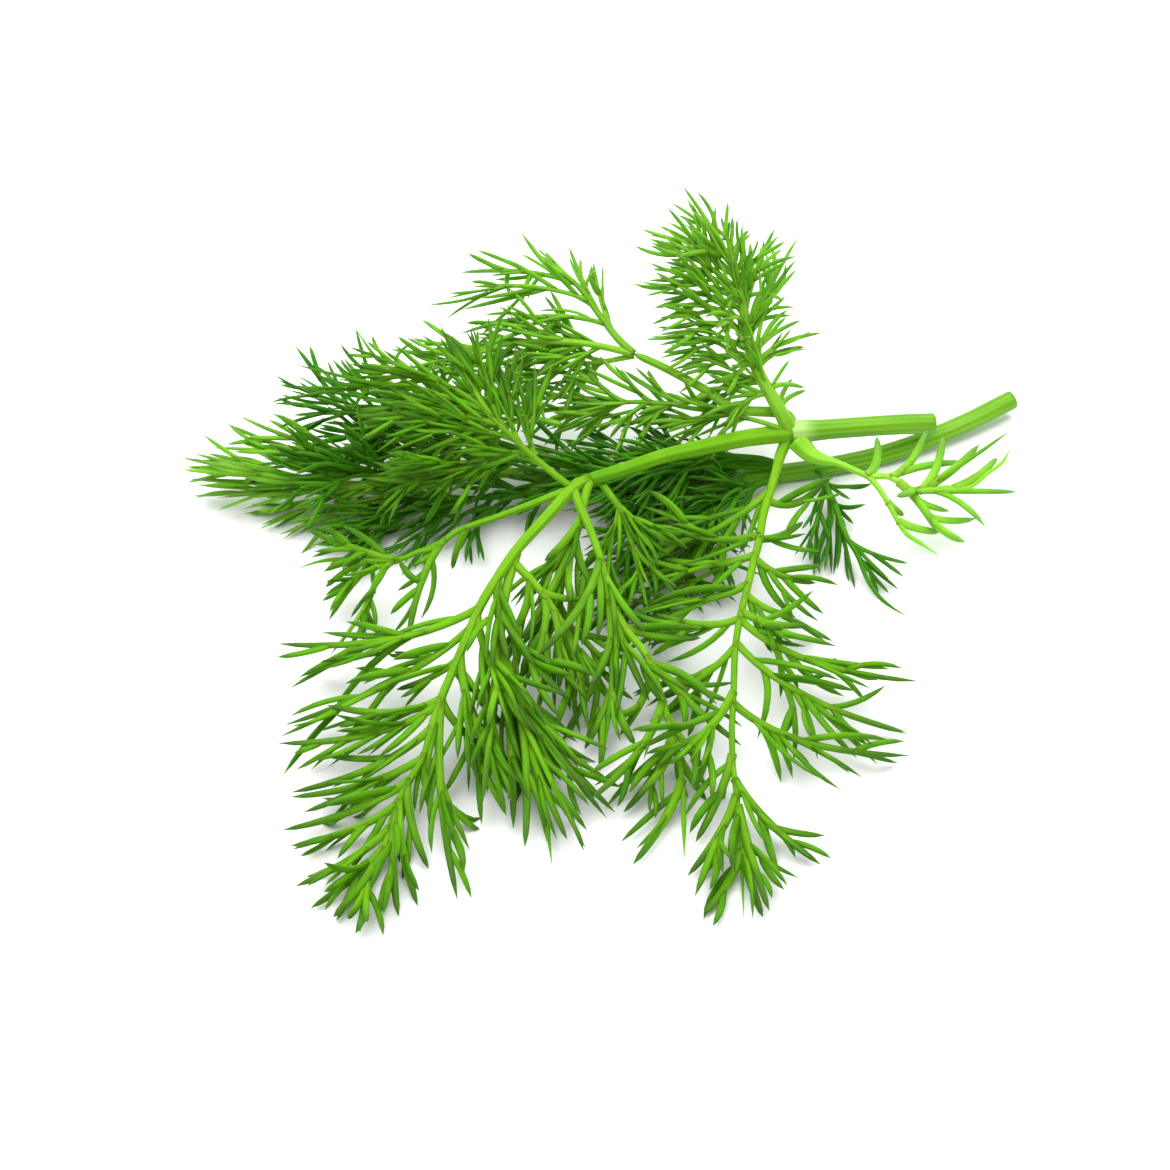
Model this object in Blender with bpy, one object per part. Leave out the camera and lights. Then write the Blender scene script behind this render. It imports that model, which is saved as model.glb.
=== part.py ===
"""A small bunch of fresh dill lying on a table: two cut stems and the feathery fronds that grow from them.

A dill frond is a leaf divided three times over. Its rachis carries pinnae, each pinna carries threads, and
the lower threads fork. Every level is a thin shoot that tapers to a point, so the whole bunch is a tree of
centrelines with radii. The lie of the stems, of the rachises and of the pinnae is chosen by hand in FRONDS,
and so is that of the threads that stand free. The other threads, called lobes below, follow a rule with
seeded draws, and each one bends until it is clear of the rest. Each frond is then one solid.

Lengths are in millimetres until a mesh is made. +Z is up and the table is the plane z = 0. The origin is on
the table, at the middle of the flat spot where the long stem rests.
"""

import math

import bmesh
import bpy
import numpy as np
from mathutils.bvhtree import BVHTree

MM = 0.001
ORIGIN = np.array((6.0, 2.2, 0.0))

# Stems: points from the cut end on, with the radius at each.
SHORT_STEM = [(51, 11.3, 7.2), (44, 9.2, 8.8), (36, 6.8, 10.3), (29, 4.6, 11.6), (26, 3.8, 12),
              (22.8, 3.0, 12.2)]
SHORT_STEM_RADII = [1.9, 1.9, 1.88, 1.86, 1.85, 1.85, 1.85, 1.85, 1.95, 2.25, 2.05]
LONG_STEM = [(67, 22, 3.4), (57, 15.6, 2.8), (45, 9.6, 2.1), (34, 6.1, 1.65), (20, 3.3, 1.52), (6, 2.2, 1.5),
             (-5, 2.0, 1.6), (-16, 2, 2.2), (-29, 1.2, 4)]
LONG_STEM_RADII = [1.8, 1.8, 1.8, 1.75, 1.75, 1.72, 1.65, 1.5, 1.1]
STEM_STEP = 5.0

# Shoots: radius as a share of the shoot's greatest radius, at these shares of its length.
RACHIS_TAPER = (0, 0.25, 0.5, 0.88, 1), (1.0, 0.8, 0.65, 0.5, 0.0)
PINNA_TAPER = (0, 0.5, 0.8, 1), (1.0, 0.85, 0.72, 0.0)
LOBE_TAPER = (0, 0.5, 1), (0.6, 1.0, 0.0)
PETIOLE_TAPER = (0, 0.6, 1), (1.0, 0.75, 0.5)
PINNA_RADIUS = 0.74
LOBE_RADIUS = 0.62
RACHIS_STEP = 6.5
PINNA_STEP = 7.0
RACHIS_SIDES, SHOOT_SIDES, STEM_SIDES = 5, 3, 14

# The rule for pinnae and lobes.
SWING = 0.58
MOST_A_SIDE = 5
FIRST_LOBE, LAST_LOBE = 0.28, 0.68
ENDS_AT = math.radians(8)
FORKS_BEFORE = 0.5
FORK_AT, FORK_SHARE = 0.4, 0.68
TIP_LENGTH = 19.0

# Slimming a joined frond: the share of its faces that is kept, and how far round a crossing all of them are.
KEPT_FACES = 0.69
MORE_KEPT = 0.01
GUARDED = 2.0
MOST_ROUNDS = 20

# Growing clear of what is there already.
NODE_GAP = 0.3
OWN_GAP = 0.25
SAMPLE_STEP = 0.8
BENDS = [math.radians(angle) for angle in (0, 15, -15, 30, -30, 48, -48, 70, -70)]
LIFTS = (0, 1, -1, 2, -2, 3, -3, 4, 5, 6, 7.5)

# How the threads of a division stand: their spacing, shortest and longest length, the angle at which they
# leave in degrees, and how broad they are.
STYLES = {
    "combed": (6.4, 9.0, 15.0, 26, 1.15),
    "open": (8.4, 10.5, 18.0, 32, 1.16),
    "free": (7.8, 9.5, 16.0, 32, 1.3),
    "curly": (8.0, 7.5, 12.5, 36, 1.0),
    "tufted": (4.8, 5.5, 10.5, 28, 0.74),
    "fine": (5.8, 7.0, 13.0, 24, 0.74),
    "tail": (5.8, 7.5, 13.0, 20, 0.9),
}

# Each frond is a list of divisions: the points of the rachis from its root, its greatest radius, the style of
# its threads, and its pinnae. A pinna is the share of the rachis where it leaves, its tip and, where its
# threads stand free and are laid by hand as well, a list of those, written in the same way. A petiole has no
# style and no pinnae, and doesn't taper to a point.
FRONDS = {
    "frond_front_left": [
        ([(22.35, 2.9, 12.25), (20.5, 2.4, 12.4), (15, 0, 13.6), (7, -4, 15), (0, -8, 16.5),
          (-7, -13, 18), (-14, -17, 19)], 1.8, None,
         []),
        ([(-15.5, -18.5, 19), (-20.5, -26, 18.5), (-25.5, -33.5, 18), (-29, -40, 17), (-31.5, -45, 16),
          (-34, -51.5, 14), (-36, -57, 12.5), (-38, -62.5, 11), (-39.5, -68, 9.5), (-40.5, -72.5, 8),
          (-43, -77, 6.5), (-45, -81, 5), (-46.5, -87.5, 3.5), (-48.5, -93, 2.5), (-50, -98.5, 1.5),
          (-50.5, -102, 1)], 1.1, "combed",
         [(0.34, (-67, -44.5, 6), [(0.4, (-59.5, -43, 7), []),
          (0.47, (-61, -49, 4), [(0.56, (-64.5, -52.5, 3), [])]), (0.38, (-60, -53.5, 3), []),
          (0.3, (-55, -49, 8), [])]), (0.38, (-65, -61, 3), [(0.42, (-49, -56, 3), []),
          (0.57, (-65.5, -64, 2), [(0.45, (-64.5, -71.5, 1.5), [])]), (0.33, (-53.5, -55.5, 6), []),
          (0.25, (-46, -46.5, 9), [])]), (0.26, (-26.5, -54.5, 12)), (0.35, (-21, -68.5, 8)),
          (0.44, (-25.5, -80, 5)), (0.45, (-46, -55.5, 6), [(0.29, (-45, -56.5, 4), [])]),
          (0.54, (-57.5, -59, 6), [(0.36, (-60, -61, 5), []), (0.22, (-51.5, -65.5, 3), []),
          (0.49, (-60.5, -69.5, 1.5), [])]), (0.55, (-65.5, -66, 4), [(0.27, (-56, -63, 6), []),
          (0.36, (-57, -69.5, 2), []), (0.17, (-50, -68.5, 3), [])]),
          (0.6, (-63, -76, 2.5), [(0.36, (-58.5, -68, 4), []), (0.51, (-55.5, -73, 1.5), []),
          (0.21, (-51.5, -71.5, 3), [])]), (0.66, (-63, -76.5, 2), [(0.36, (-57.5, -73, 3), []),
          (0.2, (-50, -75.5, 1.5), [])]), (0.71, (-64, -83.5, 1.5), [(0.53, (-58.5, -84, 1), []),
          (0.31, (-58, -78, 3), []), (0.23, (-52.5, -81.5, 1), [])]),
          (0.76, (-62.5, -87, 1.5), [(0.48, (-61.5, -87.5, 1.5), []), (0.35, (-54, -90, 1), [])]),
          (0.81, (-61, -95, 1), [(0.49, (-60, -93.5, 1), []), (0.32, (-57.5, -94, 1), [])]),
          (0.85, (-58.5, -100, 1), [(0.59, (-56, -99, 1), []), (0.27, (-56, -92.5, 2), [])]),
          (0.89, (-54.5, -101.5, 1), []), (0.94, (-52, -101.5, 1), []), (0.93, (-48.5, -101.5, 1), []),
          (0.47, (-28.5, -59, 7)), (0.54, (-28.5, -69, 4), [(0.58, (-34, -69.5, 2), []),
          (0.69, (-29.5, -75, 1.5), [])]), (0.54, (-34.5, -98.5, 1.5), [(0.44, (-32, -87, 1), []),
          (0.52, (-30.5, -82.5, 1.5), []), (0.51, (-35, -83, 1), []), (0.16, (-38, -75.5, 3), [])]),
          (0.65, (-39, -80.5, 1.5), [(0.27, (-37.5, -70.5, 2), [])]), (0.72, (-39.5, -91.5, 1), []),
          (0.75, (-41, -99.5, 1), [(0.53, (-43.5, -96, 1), []), (0.57, (-41, -95, 1), [])]),
          (0.77, (-44, -101.5, 1), [(0.52, (-47, -99.5, 1), [])])]),
        ([(-25.5, -33.5, 17.5), (-27, -39.5, 15.5), (-28, -46, 13.5), (-28.5, -52, 12),
          (-27, -57.5, 10.5), (-24.5, -63.5, 8.5), (-22.5, -71, 6), (-21, -77, 4), (-20, -82.5, 3),
          (-19, -91, 1.5)], 0.9, "combed",
         [(0.15, (-30, -75.5, 2), [(0.53, (-34, -69.5, 2), [])]),
          (0.28, (-30.5, -77, 2), [(0.51, (-26.5, -70.5, 2), [])]),
          (0.37, (-25.5, -83.5, 2), [(0.55, (-23.5, -77.5, 2), [])]), (0.53, (-23.5, -87, 1.5), []),
          (0.44, (-17.5, -72.5, 4)), (0.63, (-16.5, -85, 1.5), [(0.44, (-15.5, -82.5, 1.5), [])]),
          (0.19, (-16, -60, 8)), (0.25, (-18.5, -76, 3)), (0.32, (-12.5, -76.5, 3)),
          (0.45, (-8.5, -80, 2), [(0.53, (-12.5, -81.5, 2), []), (0.44, (-8.5, -72.5, 4), []),
          (0.65, (-11.5, -77.5, 2), [])]), (0.5, (-13.5, -86.5, 1.5), [(0.62, (-12, -82, 2), []),
          (0.58, (-15.5, -82.5, 1.5), [])])]),
        ([(-25.5, -36, 17), (-21.5, -40, 15), (-18, -44.5, 12.5), (-14.5, -50, 10),
          (-10.5, -57, 7.5)], 0.8, "combed",
         [(0.13, (-28, -51, 11)), (0.29, (-23.5, -56, 9)), (0.39, (-18, -56.5, 7)),
          (0.58, (-13.5, -62.5, 6)), (0.24, (-13.5, -40.5, 13)), (0.5, (-8, -46.5, 9)),
          (0.69, (-6.5, -56.5, 7))]),
        ([(-13.5, -20.5, 18.5), (-14.5, -26, 17), (-16, -31.5, 15), (-18.5, -37.5, 12.5),
          (-20.5, -44, 10)], 0.8, "combed",
         [(0.22, (-23, -39, 12)), (0.18, (-20.5, -33, 15), []), (0.4, (-24.5, -47.5, 10)),
          (0.61, (-18, -48, 8)), (0.34, (-11, -38.5, 11)), (0.46, (-16, -40, 12), []),
          (0.54, (-13, -45.5, 9), [])]),
        ([(-15.5, -18, 18.5), (-21.5, -21, 18), (-29, -23.5, 16.5), (-36, -25, 14.5), (-39.5, -27.5, 13),
          (-43.5, -27.5, 11.5), (-46, -28, 10.5), (-50, -28, 10), (-55, -26.5, 9), (-60.5, -26, 8),
          (-65, -26.5, 6.5)], 0.8, "curly",
         [(0.38, (-37, -29, 9), []), (0.46, (-44.5, -27, 11), []),
          (0.49, (-44.5, -43, 5), [(0.32, (-46.5, -30.5, 7), []), (0.59, (-46, -41.5, 4), []),
          (0.43, (-46.5, -26.5, 9), [])]), (0.64, (-59.5, -31.5, 5), [(0.53, (-58.5, -36, 3), []),
          (0.64, (-57.5, -36, 4), []), (0.33, (-56, -29.5, 7), [])]),
          (0.66, (-52.5, -41, 3), [(0.47, (-56, -43.5, 2), []), (0.71, (-49.5, -39.5, 2), []),
          (0.27, (-54.5, -37, 3), [])]), (0.75, (-59.5, -30.5, 6), []),
          (0.65, (-63, -22, 12), [(0.47, (-61, -26, 9), []), (0.59, (-59, -21.5, 12), []),
          (0.35, (-56.5, -27, 9), [])])]),
        ([(-15.5, -18.5, 19), (-20, -16.5, 21.5), (-24.5, -13.5, 24), (-28.5, -10, 26), (-33.5, -5, 27.5),
          (-39.5, -1, 28.5), (-46, 1, 29), (-50.5, 3.5, 29.5), (-55, 10.5, 31)], 0.7, "fine",
         [(0.26, (-47.5, -7, 22)), (0.33, (-54, -3.5, 22)),
          (0.41, (-58, 3.5, 25), [(0.58, (-66, 3, 26), []), (0.71, (-65.5, -1.5, 22), []),
          (0.77, (-55.5, -1, 22), []), (0.37, (-47, -2, 20), []), (0.24, (-43, -5, 18), [])]),
          (0.54, (-56, 4.5, 28), [(0.52, (-53.5, 0.5, 25), []), (0.33, (-49.5, 1.5, 22), [])]),
          (0.6, (-55.5, 7, 29), [(0.62, (-51.5, 9.5, 31), []),
          (0.22, (-50, 6, 29), [(0.67, (-45.5, 8.5, 30), [])])]),
          (0.36, (-39.5, 9, 33), [(0.63, (-40.5, 6, 31), []), (0.42, (-34, 8, 33), [])]),
          (0.3, (-34, 8, 33)), (0.23, (-29, 4.5, 31)), (0.16, (-23.5, 0, 28)), (0.19, (-34, -13, 18)),
          (0.28, (-41.5, -10.5, 17))]),
        ([(-15.5, -18.5, 19), (-12.5, -28, 17.5), (-10.5, -34.5, 15.5), (-9.5, -40.5, 13),
          (-9, -48.5, 11), (-9, -58, 8.5), (-10, -67.5, 5)], 0.85, "combed",
         [(0.31, (-21.5, -50, 9), [(0.46, (-12.5, -44.5, 9), [])]), (0.46, (-13, -44.5, 9), []),
          (0.61, (-12.5, -55.5, 7), [(0.44, (-12.5, -58, 6), [])]), (0.61, (-17, -65, 5)),
          (0.37, (-3, -47.5, 12), []), (0.46, (-2.5, -59, 7)), (0.8, (-13.5, -67.5, 4)),
          (0.8, (-5, -67.5, 5), [])]),
        ([(-10, -38.5, 12.5), (-6.5, -45.5, 11), (-3, -50.5, 9.5), (-1, -56.5, 8), (0.5, -62, 6.5),
          (2, -68.5, 5), (3, -75.5, 3.5), (3, -90, 1.5)], 0.8, "open",
         [(0.26, (13, -67.5, 5), [(0.47, (8.5, -64.5, 4), []), (0.44, (3, -62, 4), []),
          (0.28, (12.5, -52.5, 6), [])]), (0.14, (6.5, -46, 9), [(0.46, (3, -40.5, 10), [])]),
          (0.17, (-11, -48, 7), []), (0.71, (-5.5, -91, 1.5), [(0.38, (-0.5, -84, 1), [])]),
          (0.55, (-7, -80, 2), [(0.46, (-3.5, -79, 1.5), [])]), (0.57, (-4.5, -75.5, 2), []),
          (0.43, (-12.5, -77, 2.5), [(0.43, (-6.5, -73.5, 2), []), (0.54, (-11, -75, 2), [])]),
          (0.48, (7, -72.5, 4), []), (0.61, (7, -77.5, 2), []),
          (0.31, (-7.5, -64.5, 4), [(0.56, (-9, -60, 3), [])])]),
        ([(-11, -15, 17.5), (-7.5, -20, 15.5), (-5.5, -24.5, 12.5), (-4, -30.5, 10),
          (-2.5, -38, 8)], 0.7, "fine",
         [(0.24, (-13.5, -29, 9)), (0.17, (1, -26, 12)), (0.51, (3, -34, 9), [(0.5, (-1, -35.5, 8), [])]),
          (0.7, (-10, -35.5, 8), [])]),
    ],
    "frond_front_right": [
        ([(22.4, 0.1, 10.2), (21.5, -4, 10.5), (20, -10.5, 10.5), (18.5, -16.5, 10.5), (17.5, -23, 10),
          (16.5, -27.5, 10), (15, -34.5, 9.5), (13.5, -41.5, 9), (12.5, -48.5, 8.5), (12, -57.5, 8),
          (11.5, -65.5, 6.5), (11.5, -72.5, 5.5), (12, -79, 4.5), (12.5, -85, 3.5), (12.5, -93, 2),
          (12.5, -102, 1)], 0.85, "open",
         [(0.1, (2, -23.5, 8)), (0.13, (30.5, -2.5, 6), []), (0.21, (-1.5, -17.5, 9)),
          (0.26, (-3.5, -23, 7)), (0.33, (-7.5, -33.5, 6)), (0.41, (-1.5, -40, 9)),
          (0.47, (-0.5, -58, 6)), (0.57, (0.5, -70.5, 4)), (0.65, (3, -78.5, 3)), (0.22, (25.5, -19, 11)),
          (0.27, (27.5, -29.5, 6)), (0.35, (23.5, -38, 6)), (0.39, (25.5, -43, 9)),
          (0.41, (44, -53.5, 6), [(0.28, (20, -56, 4), []), (0.45, (39.5, -49, 7), []),
          (0.6, (35, -57, 5), []), (0.17, (25, -46.5, 8), []), (0.69, (39, -53, 8), [])]),
          (0.46, (41.5, -64, 4), [(0.24, (18, -62.5, 2), []),
          (0.39, (23, -68.5, 2), [(0.42, (20, -64.5, 2), [])]), (0.53, (34, -70.5, 2), []),
          (0.65, (38.5, -56, 5), []), (0.68, (41.5, -64, 3), []), (0.44, (26.5, -68, 2), []),
          (0.33, (29, -53.5, 7), [])]), (0.59, (41.5, -68, 3), [(0.38, (33.5, -71.5, 3), []),
          (0.74, (39.5, -68.5, 2), []), (0.23, (19, -73, 2), []), (0.27, (23, -72.5, 3), [])]),
          (0.67, (33, -76.5, 2.5), [(0.38, (20.5, -77, 2), []), (0.64, (28, -77.5, 2), []),
          (0.21, (17, -77, 1.5), [])]), (0.74, (25.5, -91, 1.5), [(0.57, (26.5, -84, 2), []),
          (0.36, (19.5, -89, 1.5), [])]), (0.79, (16.5, -100, 1), [(0.4, (21.5, -94, 1), [])]),
          (0.87, (15.5, -101.5, 1), []), (0.88, (6, -101.5, 1), []),
          (0.77, (3.5, -93.5, 1.5), [(0.47, (6, -98.5, 1), []), (0.39, (9, -92.5, 1.5), [])]),
          (0.69, (5, -86.5, 2), [(0.24, (10, -78, 2), [])])]),
    ],
    "frond_upright": [
        ([(22, 5, 16.2), (20.5, 7, 18), (18.5, 9.5, 20.5), (17, 12.5, 23), (16, 16.5, 25.5),
          (15.5, 20, 28), (14.5, 22, 31), (14, 24, 33.5), (13, 26, 36),
          (12.5, 27.5, 38.5)], 1.45, "tufted",
         [(0.78, (4.5, 36.5, 43), [(0.37, (3.5, 36, 42), [])]), (0.8, (7.5, 26, 40)),
          (0.86, (11.5, 31, 41), [(0.5, (13.5, 30, 40), [])]), (0.88, (16.5, 29, 39), []),
          (0.75, (0, 32.5, 37)), (0.69, (-1.5, 30, 35)), (0.65, (1, 27, 33)), (0.62, (-2, 24, 31)),
          (0.58, (0.5, 21.5, 30)), (0.52, (0, 19, 29)), (0.46, (1, 16, 26)), (0.37, (0, 14, 24)),
          (0.3, (4, 11.5, 21)), (0.17, (5.5, 3.5, 12), [(0.48, (7.5, 4.5, 13), []),
          (0.34, (9.5, 1.5, 12), [])]), (0.1, (12, 3.5, 14)), (0.18, (8.5, 10, 18)),
          (0.7, (17, 24.5, 38)), (0.55, (21.5, 33, 36), [(0.52, (25.5, 26.5, 34), []),
          (0.68, (19.5, 29.5, 36), []), (0.43, (24, 23, 33), []), (0.25, (23, 19.5, 31), [])]),
          (0.4, (25.5, 30, 31), [(0.41, (22, 36, 33), []), (0.51, (20, 33, 32), []),
          (0.47, (26, 27, 30), []), (0.33, (24, 22.5, 28), []), (0.24, (24.5, 20.5, 26), [])]),
          (0.46, (21, 19.5, 30)), (0.32, (26, 17.5, 27), []),
          (0.27, (30, 17.5, 24), [(0.36, (24, 17.5, 25), [])]), (0.25, (27, 16, 22), []),
          (0.36, (14.5, 6, 32), []), (0.51, (10, 8, 33)), (0.25, (12.5, 4.5, 26)), (0.63, (12, 15, 34)),
          (0.12, (26.5, 8, 19), []), (0.0, (24.5, 10.5, 19), []), (0.0, (27, 9.5, 17), [])]),
    ],
    "frond_back_left": [
        ([(23.2, 7, 13.4), (14, 5.5, 16), (8.5, 8.5, 18), (1.5, 12, 20), (-4.5, 14.5, 21.5)], 1.1, None,
         []),
        ([(-4.5, 14.5, 21.5), (-7.5, 16.5, 23.5), (-11, 20.5, 26), (-14, 24, 28.5), (-17, 26, 30.5),
          (-21, 28, 32), (-25.5, 34.5, 34)], 0.8, "fine",
         [(0.16, (-12, 30.5, 30), [(0.48, (-9.5, 26.5, 28), [])]),
          (0.29, (-16.5, 32.5, 32), [(0.46, (-12, 28, 30), [])]), (0.44, (-21, 31, 32.5), []),
          (0.53, (-36.5, 27.5, 30), [(0.53, (-33, 28.5, 31), []), (0.49, (-30.5, 27, 29), []),
          (0.4, (-25.5, 22, 27), []), (0.32, (-24, 22, 28), []), (0.62, (-27, 23.5, 28), [])]),
          (0.4, (-34, 24, 29), [(0.62, (-40, 24.5, 27), []), (0.71, (-40.5, 22, 25), []),
          (0.76, (-30, 23, 29), []), (0.41, (-34.5, 17.5, 25), [])]),
          (0.23, (-36.5, 17, 24), [(0.6, (-34.5, 16.5, 22), []), (0.32, (-25.5, 15, 22), [])])]),
        ([(-4.5, 14.5, 21.5), (-11, 15, 23), (-17, 15, 24), (-23.5, 15, 24), (-29, 15, 23),
          (-34.5, 14.5, 21), (-40, 15.5, 19), (-47.5, 14, 18)], 0.75, "fine",
         [(0.12, (-21.5, 18, 26)), (0.25, (-28, 19.5, 26)), (0.39, (-33, 16.5, 23)),
          (0.21, (-22.5, 11.5, 19)), (0.35, (-28, 11.5, 19)), (0.48, (-34.5, 10, 18)),
          (0.6, (-41, 17.5, 20)), (0.65, (-42, 12, 16)), (0.14, (-18, 10, 18))]),
        ([(10, 8, 18), (4, 7, 16), (-3.5, 8, 15.5), (-10.5, 8, 15), (-18, 8, 14)], 0.7, "fine",
         [(0.24, (-2, 13, 19)), (0.41, (-7, 12, 20)), (0.58, (-13, 11, 20)), (0.73, (-19, 11, 18)),
          (0.27, (-3, 4, 12)), (0.43, (-9, 3, 11)), (0.6, (-15, 4, 10)), (0.77, (-21, 6, 11))]),
    ],
    "frond_right": [
        ([(27.5, 0, 10), (29.5, -1.5, 10), (32.5, -2, 9.5), (35, -3, 9), (38.5, -4.5, 8), (41, -8.5, 7),
          (43, -14, 6.5), (44.5, -17, 6), (47, -19, 5.5), (50, -21.5, 5)], 0.8, "free",
         [(0.54, (44.5, -12, 6), []), (0.34, (40, 3.5, 11), []), (0.69, (50.5, -15.5, 5), [])]),
        ([(38.5, -4, 8), (41.5, -4.5, 8.5), (43.5, -6.5, 9), (45.5, -8.5, 9), (48, -9.5, 9.5),
          (51.5, -9, 10), (56, -9, 10), (59.5, -5.5, 10), (62.5, -2.5, 10),
          (64.5, 1.5, 10)], 0.65, "free",
         [(0.11, (49, 4, 12), [(0.2, (56, -3, 12), [])]), (0.32, (51.5, 1, 13), []),
          (0.31, (58, -0.5, 12.5), [(0.26, (63, 3, 12.5), [])]), (0.51, (62, -0.5, 9.5), []),
          (0.29, (63.5, -8.5, 8), [(0.18, (58.5, -13.5, 7), [])]),
          (0.18, (50, -16.5, 6), [(0.41, (52.5, -12.5, 7), []), (0.74, (57.5, -12, 6), []),
          (0.8, (54, -19, 5), [])]), (0.27, (42.5, -9.5, 8), [])]),
    ],
    "frond_right_low": [
        ([(30.5, 2, 3), (31, -4, 4.5), (32, -9, 5.5), (33, -14.5, 5.5), (34, -17.5, 5), (35.5, -21, 4.5),
          (37, -26, 3.5), (39, -29.5, 2.5), (41.5, -32, 2), (44, -33, 1)], 0.75, "fine",
         [(0.06, (25.5, -22, 4), [(0.44, (27.5, -24.5, 2), [])]),
          (0.17, (29.5, -23.5, 3), [(0.51, (32, -23.5, 2), [])]), (0.27, (35, -27, 2), []),
          (0.51, (44.5, -22.5, 4), [(0.46, (42.5, -26.5, 3), [])]), (0.59, (41, -28.5, 2.5), []),
          (0.14, (34, -14, 5), [(0.46, (37.5, -10, 5), [])]), (0.1, (38.5, -5, 7), [])]),
    ],
    "frond_left_end": [
        ([(-29.45, 1.15, 4.05), (-50, -3, 5.5), (-56.5, -5, 6.5), (-62.5, -5.5, 7.5), (-69, -5, 8.5),
          (-75.5, -4, 8.5), (-81, -3, 8), (-87.5, -1, 7)], 1.1, "tail",
         [(0.18, (-76, 5, 14), [(0.54, (-70, 3.5, 15), []), (0.77, (-77.5, 6, 13), []),
          (0.38, (-72.5, 1.5, 12), [])]),
          (0.29, (-79.5, 6, 12), [(0.52, (-82, 3, 11), [(0.52, (-79, 6, 12), [])]),
          (0.37, (-75, 1, 10), [])]), (0.41, (-85, 0, 10), [(0.54, (-86.5, -0.5, 9), []),
          (0.38, (-79.5, -0.5, 10), [])]), (0.56, (-86, -0.5, 9), [(0.49, (-84, -1, 9), [])]),
          (0.69, (-87.5, -1, 7), []), (0.29, (-85.5, -5, 4), [(0.35, (-81, -4.5, 3), []),
          (0.61, (-86, -1.5, 5), []), (0.42, (-76, -7.5, 2), [])]),
          (0.18, (-76, -7.5, 2), [(0.56, (-71.5, -13.5, 1.5), []), (0.4, (-69, -12, 1), []),
          (0.67, (-72.5, -7, 3), [])]), (0.09, (-69, -12, 1), [(0.55, (-62.5, -12.5, 1), [])]),
          (0.39, (-86, -2.5, 6), [(0.45, (-84, -2.5, 7), [])])]),
    ],
    "frond_left_back": [
        ([(-18, 1.8, 5.1), (-29, 3.4, 9.4), (-40, 4.4, 12), (-49, 6, 13.2), (-57, 9, 14),
          (-67, 15, 16)], 0.8, "fine",
         [(0.3, (-44, 14, 19)), (0.5, (-58, 15, 20)), (0.3, (-50, -6, 10)), (0.48, (-61, -2, 11)),
          (0.66, (-67, 6, 14))]),
    ],
    "frond_left_low": [
        ([(-22, -0.7, 2.8), (-30, -4, 3.4), (-40, -7, 3.6), (-50, -10, 3), (-60, -15, 2)], 0.7, "fine",
         [(0.3, (-52, -2, 4)), (0.5, (-62, -9, 3)), (0.2, (-36, -17, 2)), (0.4, (-46, -20, 1.5)),
          (0.6, (-56, -20, 1.5))]),
    ],
    "frond_middle": [
        ([(19, 2.4, 4.4), (11, 0.5, 6.6), (2, -1.5, 8), (-8, -3, 9), (-20, -3, 10)], 0.75, "fine",
         [(0.2, (-2, 8, 9)), (0.42, (-14, 7, 9)), (0.62, (-24, 4, 9)), (0.25, (0, -13, 8)),
          (0.45, (-14, -13, 9)), (0.62, (-24, -9, 9))]),
    ],
    "frond_under": [
        ([(10, -0.15, 2.4), (7, -7, 3.6), (3, -16, 4.2), (-1, -26, 4), (-4, -38, 3)], 0.7, "fine",
         [(0.2, (-8, -12, 5)), (0.4, (-12, -24, 3)), (0.6, (-12, -34, 2)), (0.25, (11, -18, 4)),
          (0.5, (9, -30, 3))]),
    ],
}


# Centrelines.

def unit(vector):
    return vector / np.linalg.norm(vector)


def length_of(line):
    return float(np.linalg.norm(np.diff(line, axis=0), axis=1).sum())


def smooth_line(points, step):
    """A Catmull-Rom curve through the points, cut into even steps of about the length asked for."""
    points = np.asarray(points, float)
    ends = np.concatenate([[2 * points[0] - points[1]], points, [2 * points[-1] - points[-2]]])
    before, here, there, after = ends[:-3], ends[1:-2], ends[2:-1], ends[3:]
    share = np.linspace(0, 1, 12, endpoint=False)[:, None, None]
    fine = 0.5 * (2 * here + (there - before) * share
                  + (2 * before - 5 * here + 4 * there - after) * share ** 2
                  + (3 * here - 3 * there + after - before) * share ** 3)
    fine = np.concatenate([fine.transpose(1, 0, 2).reshape(-1, 3), points[-1:]])
    travelled = np.concatenate([[0], np.cumsum(np.linalg.norm(np.diff(fine, axis=0), axis=1))])
    even = np.linspace(0, travelled[-1], max(2, round(travelled[-1] / step)) + 1)
    return np.stack([np.interp(even, travelled, fine[:, axis]) for axis in range(3)], axis=1)


def bow(root, middle, tip, count):
    """A quadratic curve from root to tip, drawn towards middle, as count + 1 points."""
    share = np.linspace(0, 1, count + 1)[:, None]
    return (1 - share) ** 2 * root + 2 * share * (1 - share) * middle + share ** 2 * tip


def place_on(line, share):
    """The point at that share of an evenly stepped line, and the line's direction there."""
    at = share * (len(line) - 1)
    first = min(int(at), len(line) - 2)
    step = line[first + 1] - line[first]
    return line[first] + (at - first) * step, unit(step)


def tapered(greatest, taper, count):
    """Radii at count evenly spaced points of a shoot."""
    return greatest * np.interp(np.linspace(0, 1, count), *taper)


def above_table(line, radii):
    """The line with its low points raised, so that its underside doesn't pass through the table."""
    line = line.copy()
    line[:, 2] = np.maximum(line[:, 2], radii)
    return line


# What has grown, and how far new growth is from it.

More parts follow.
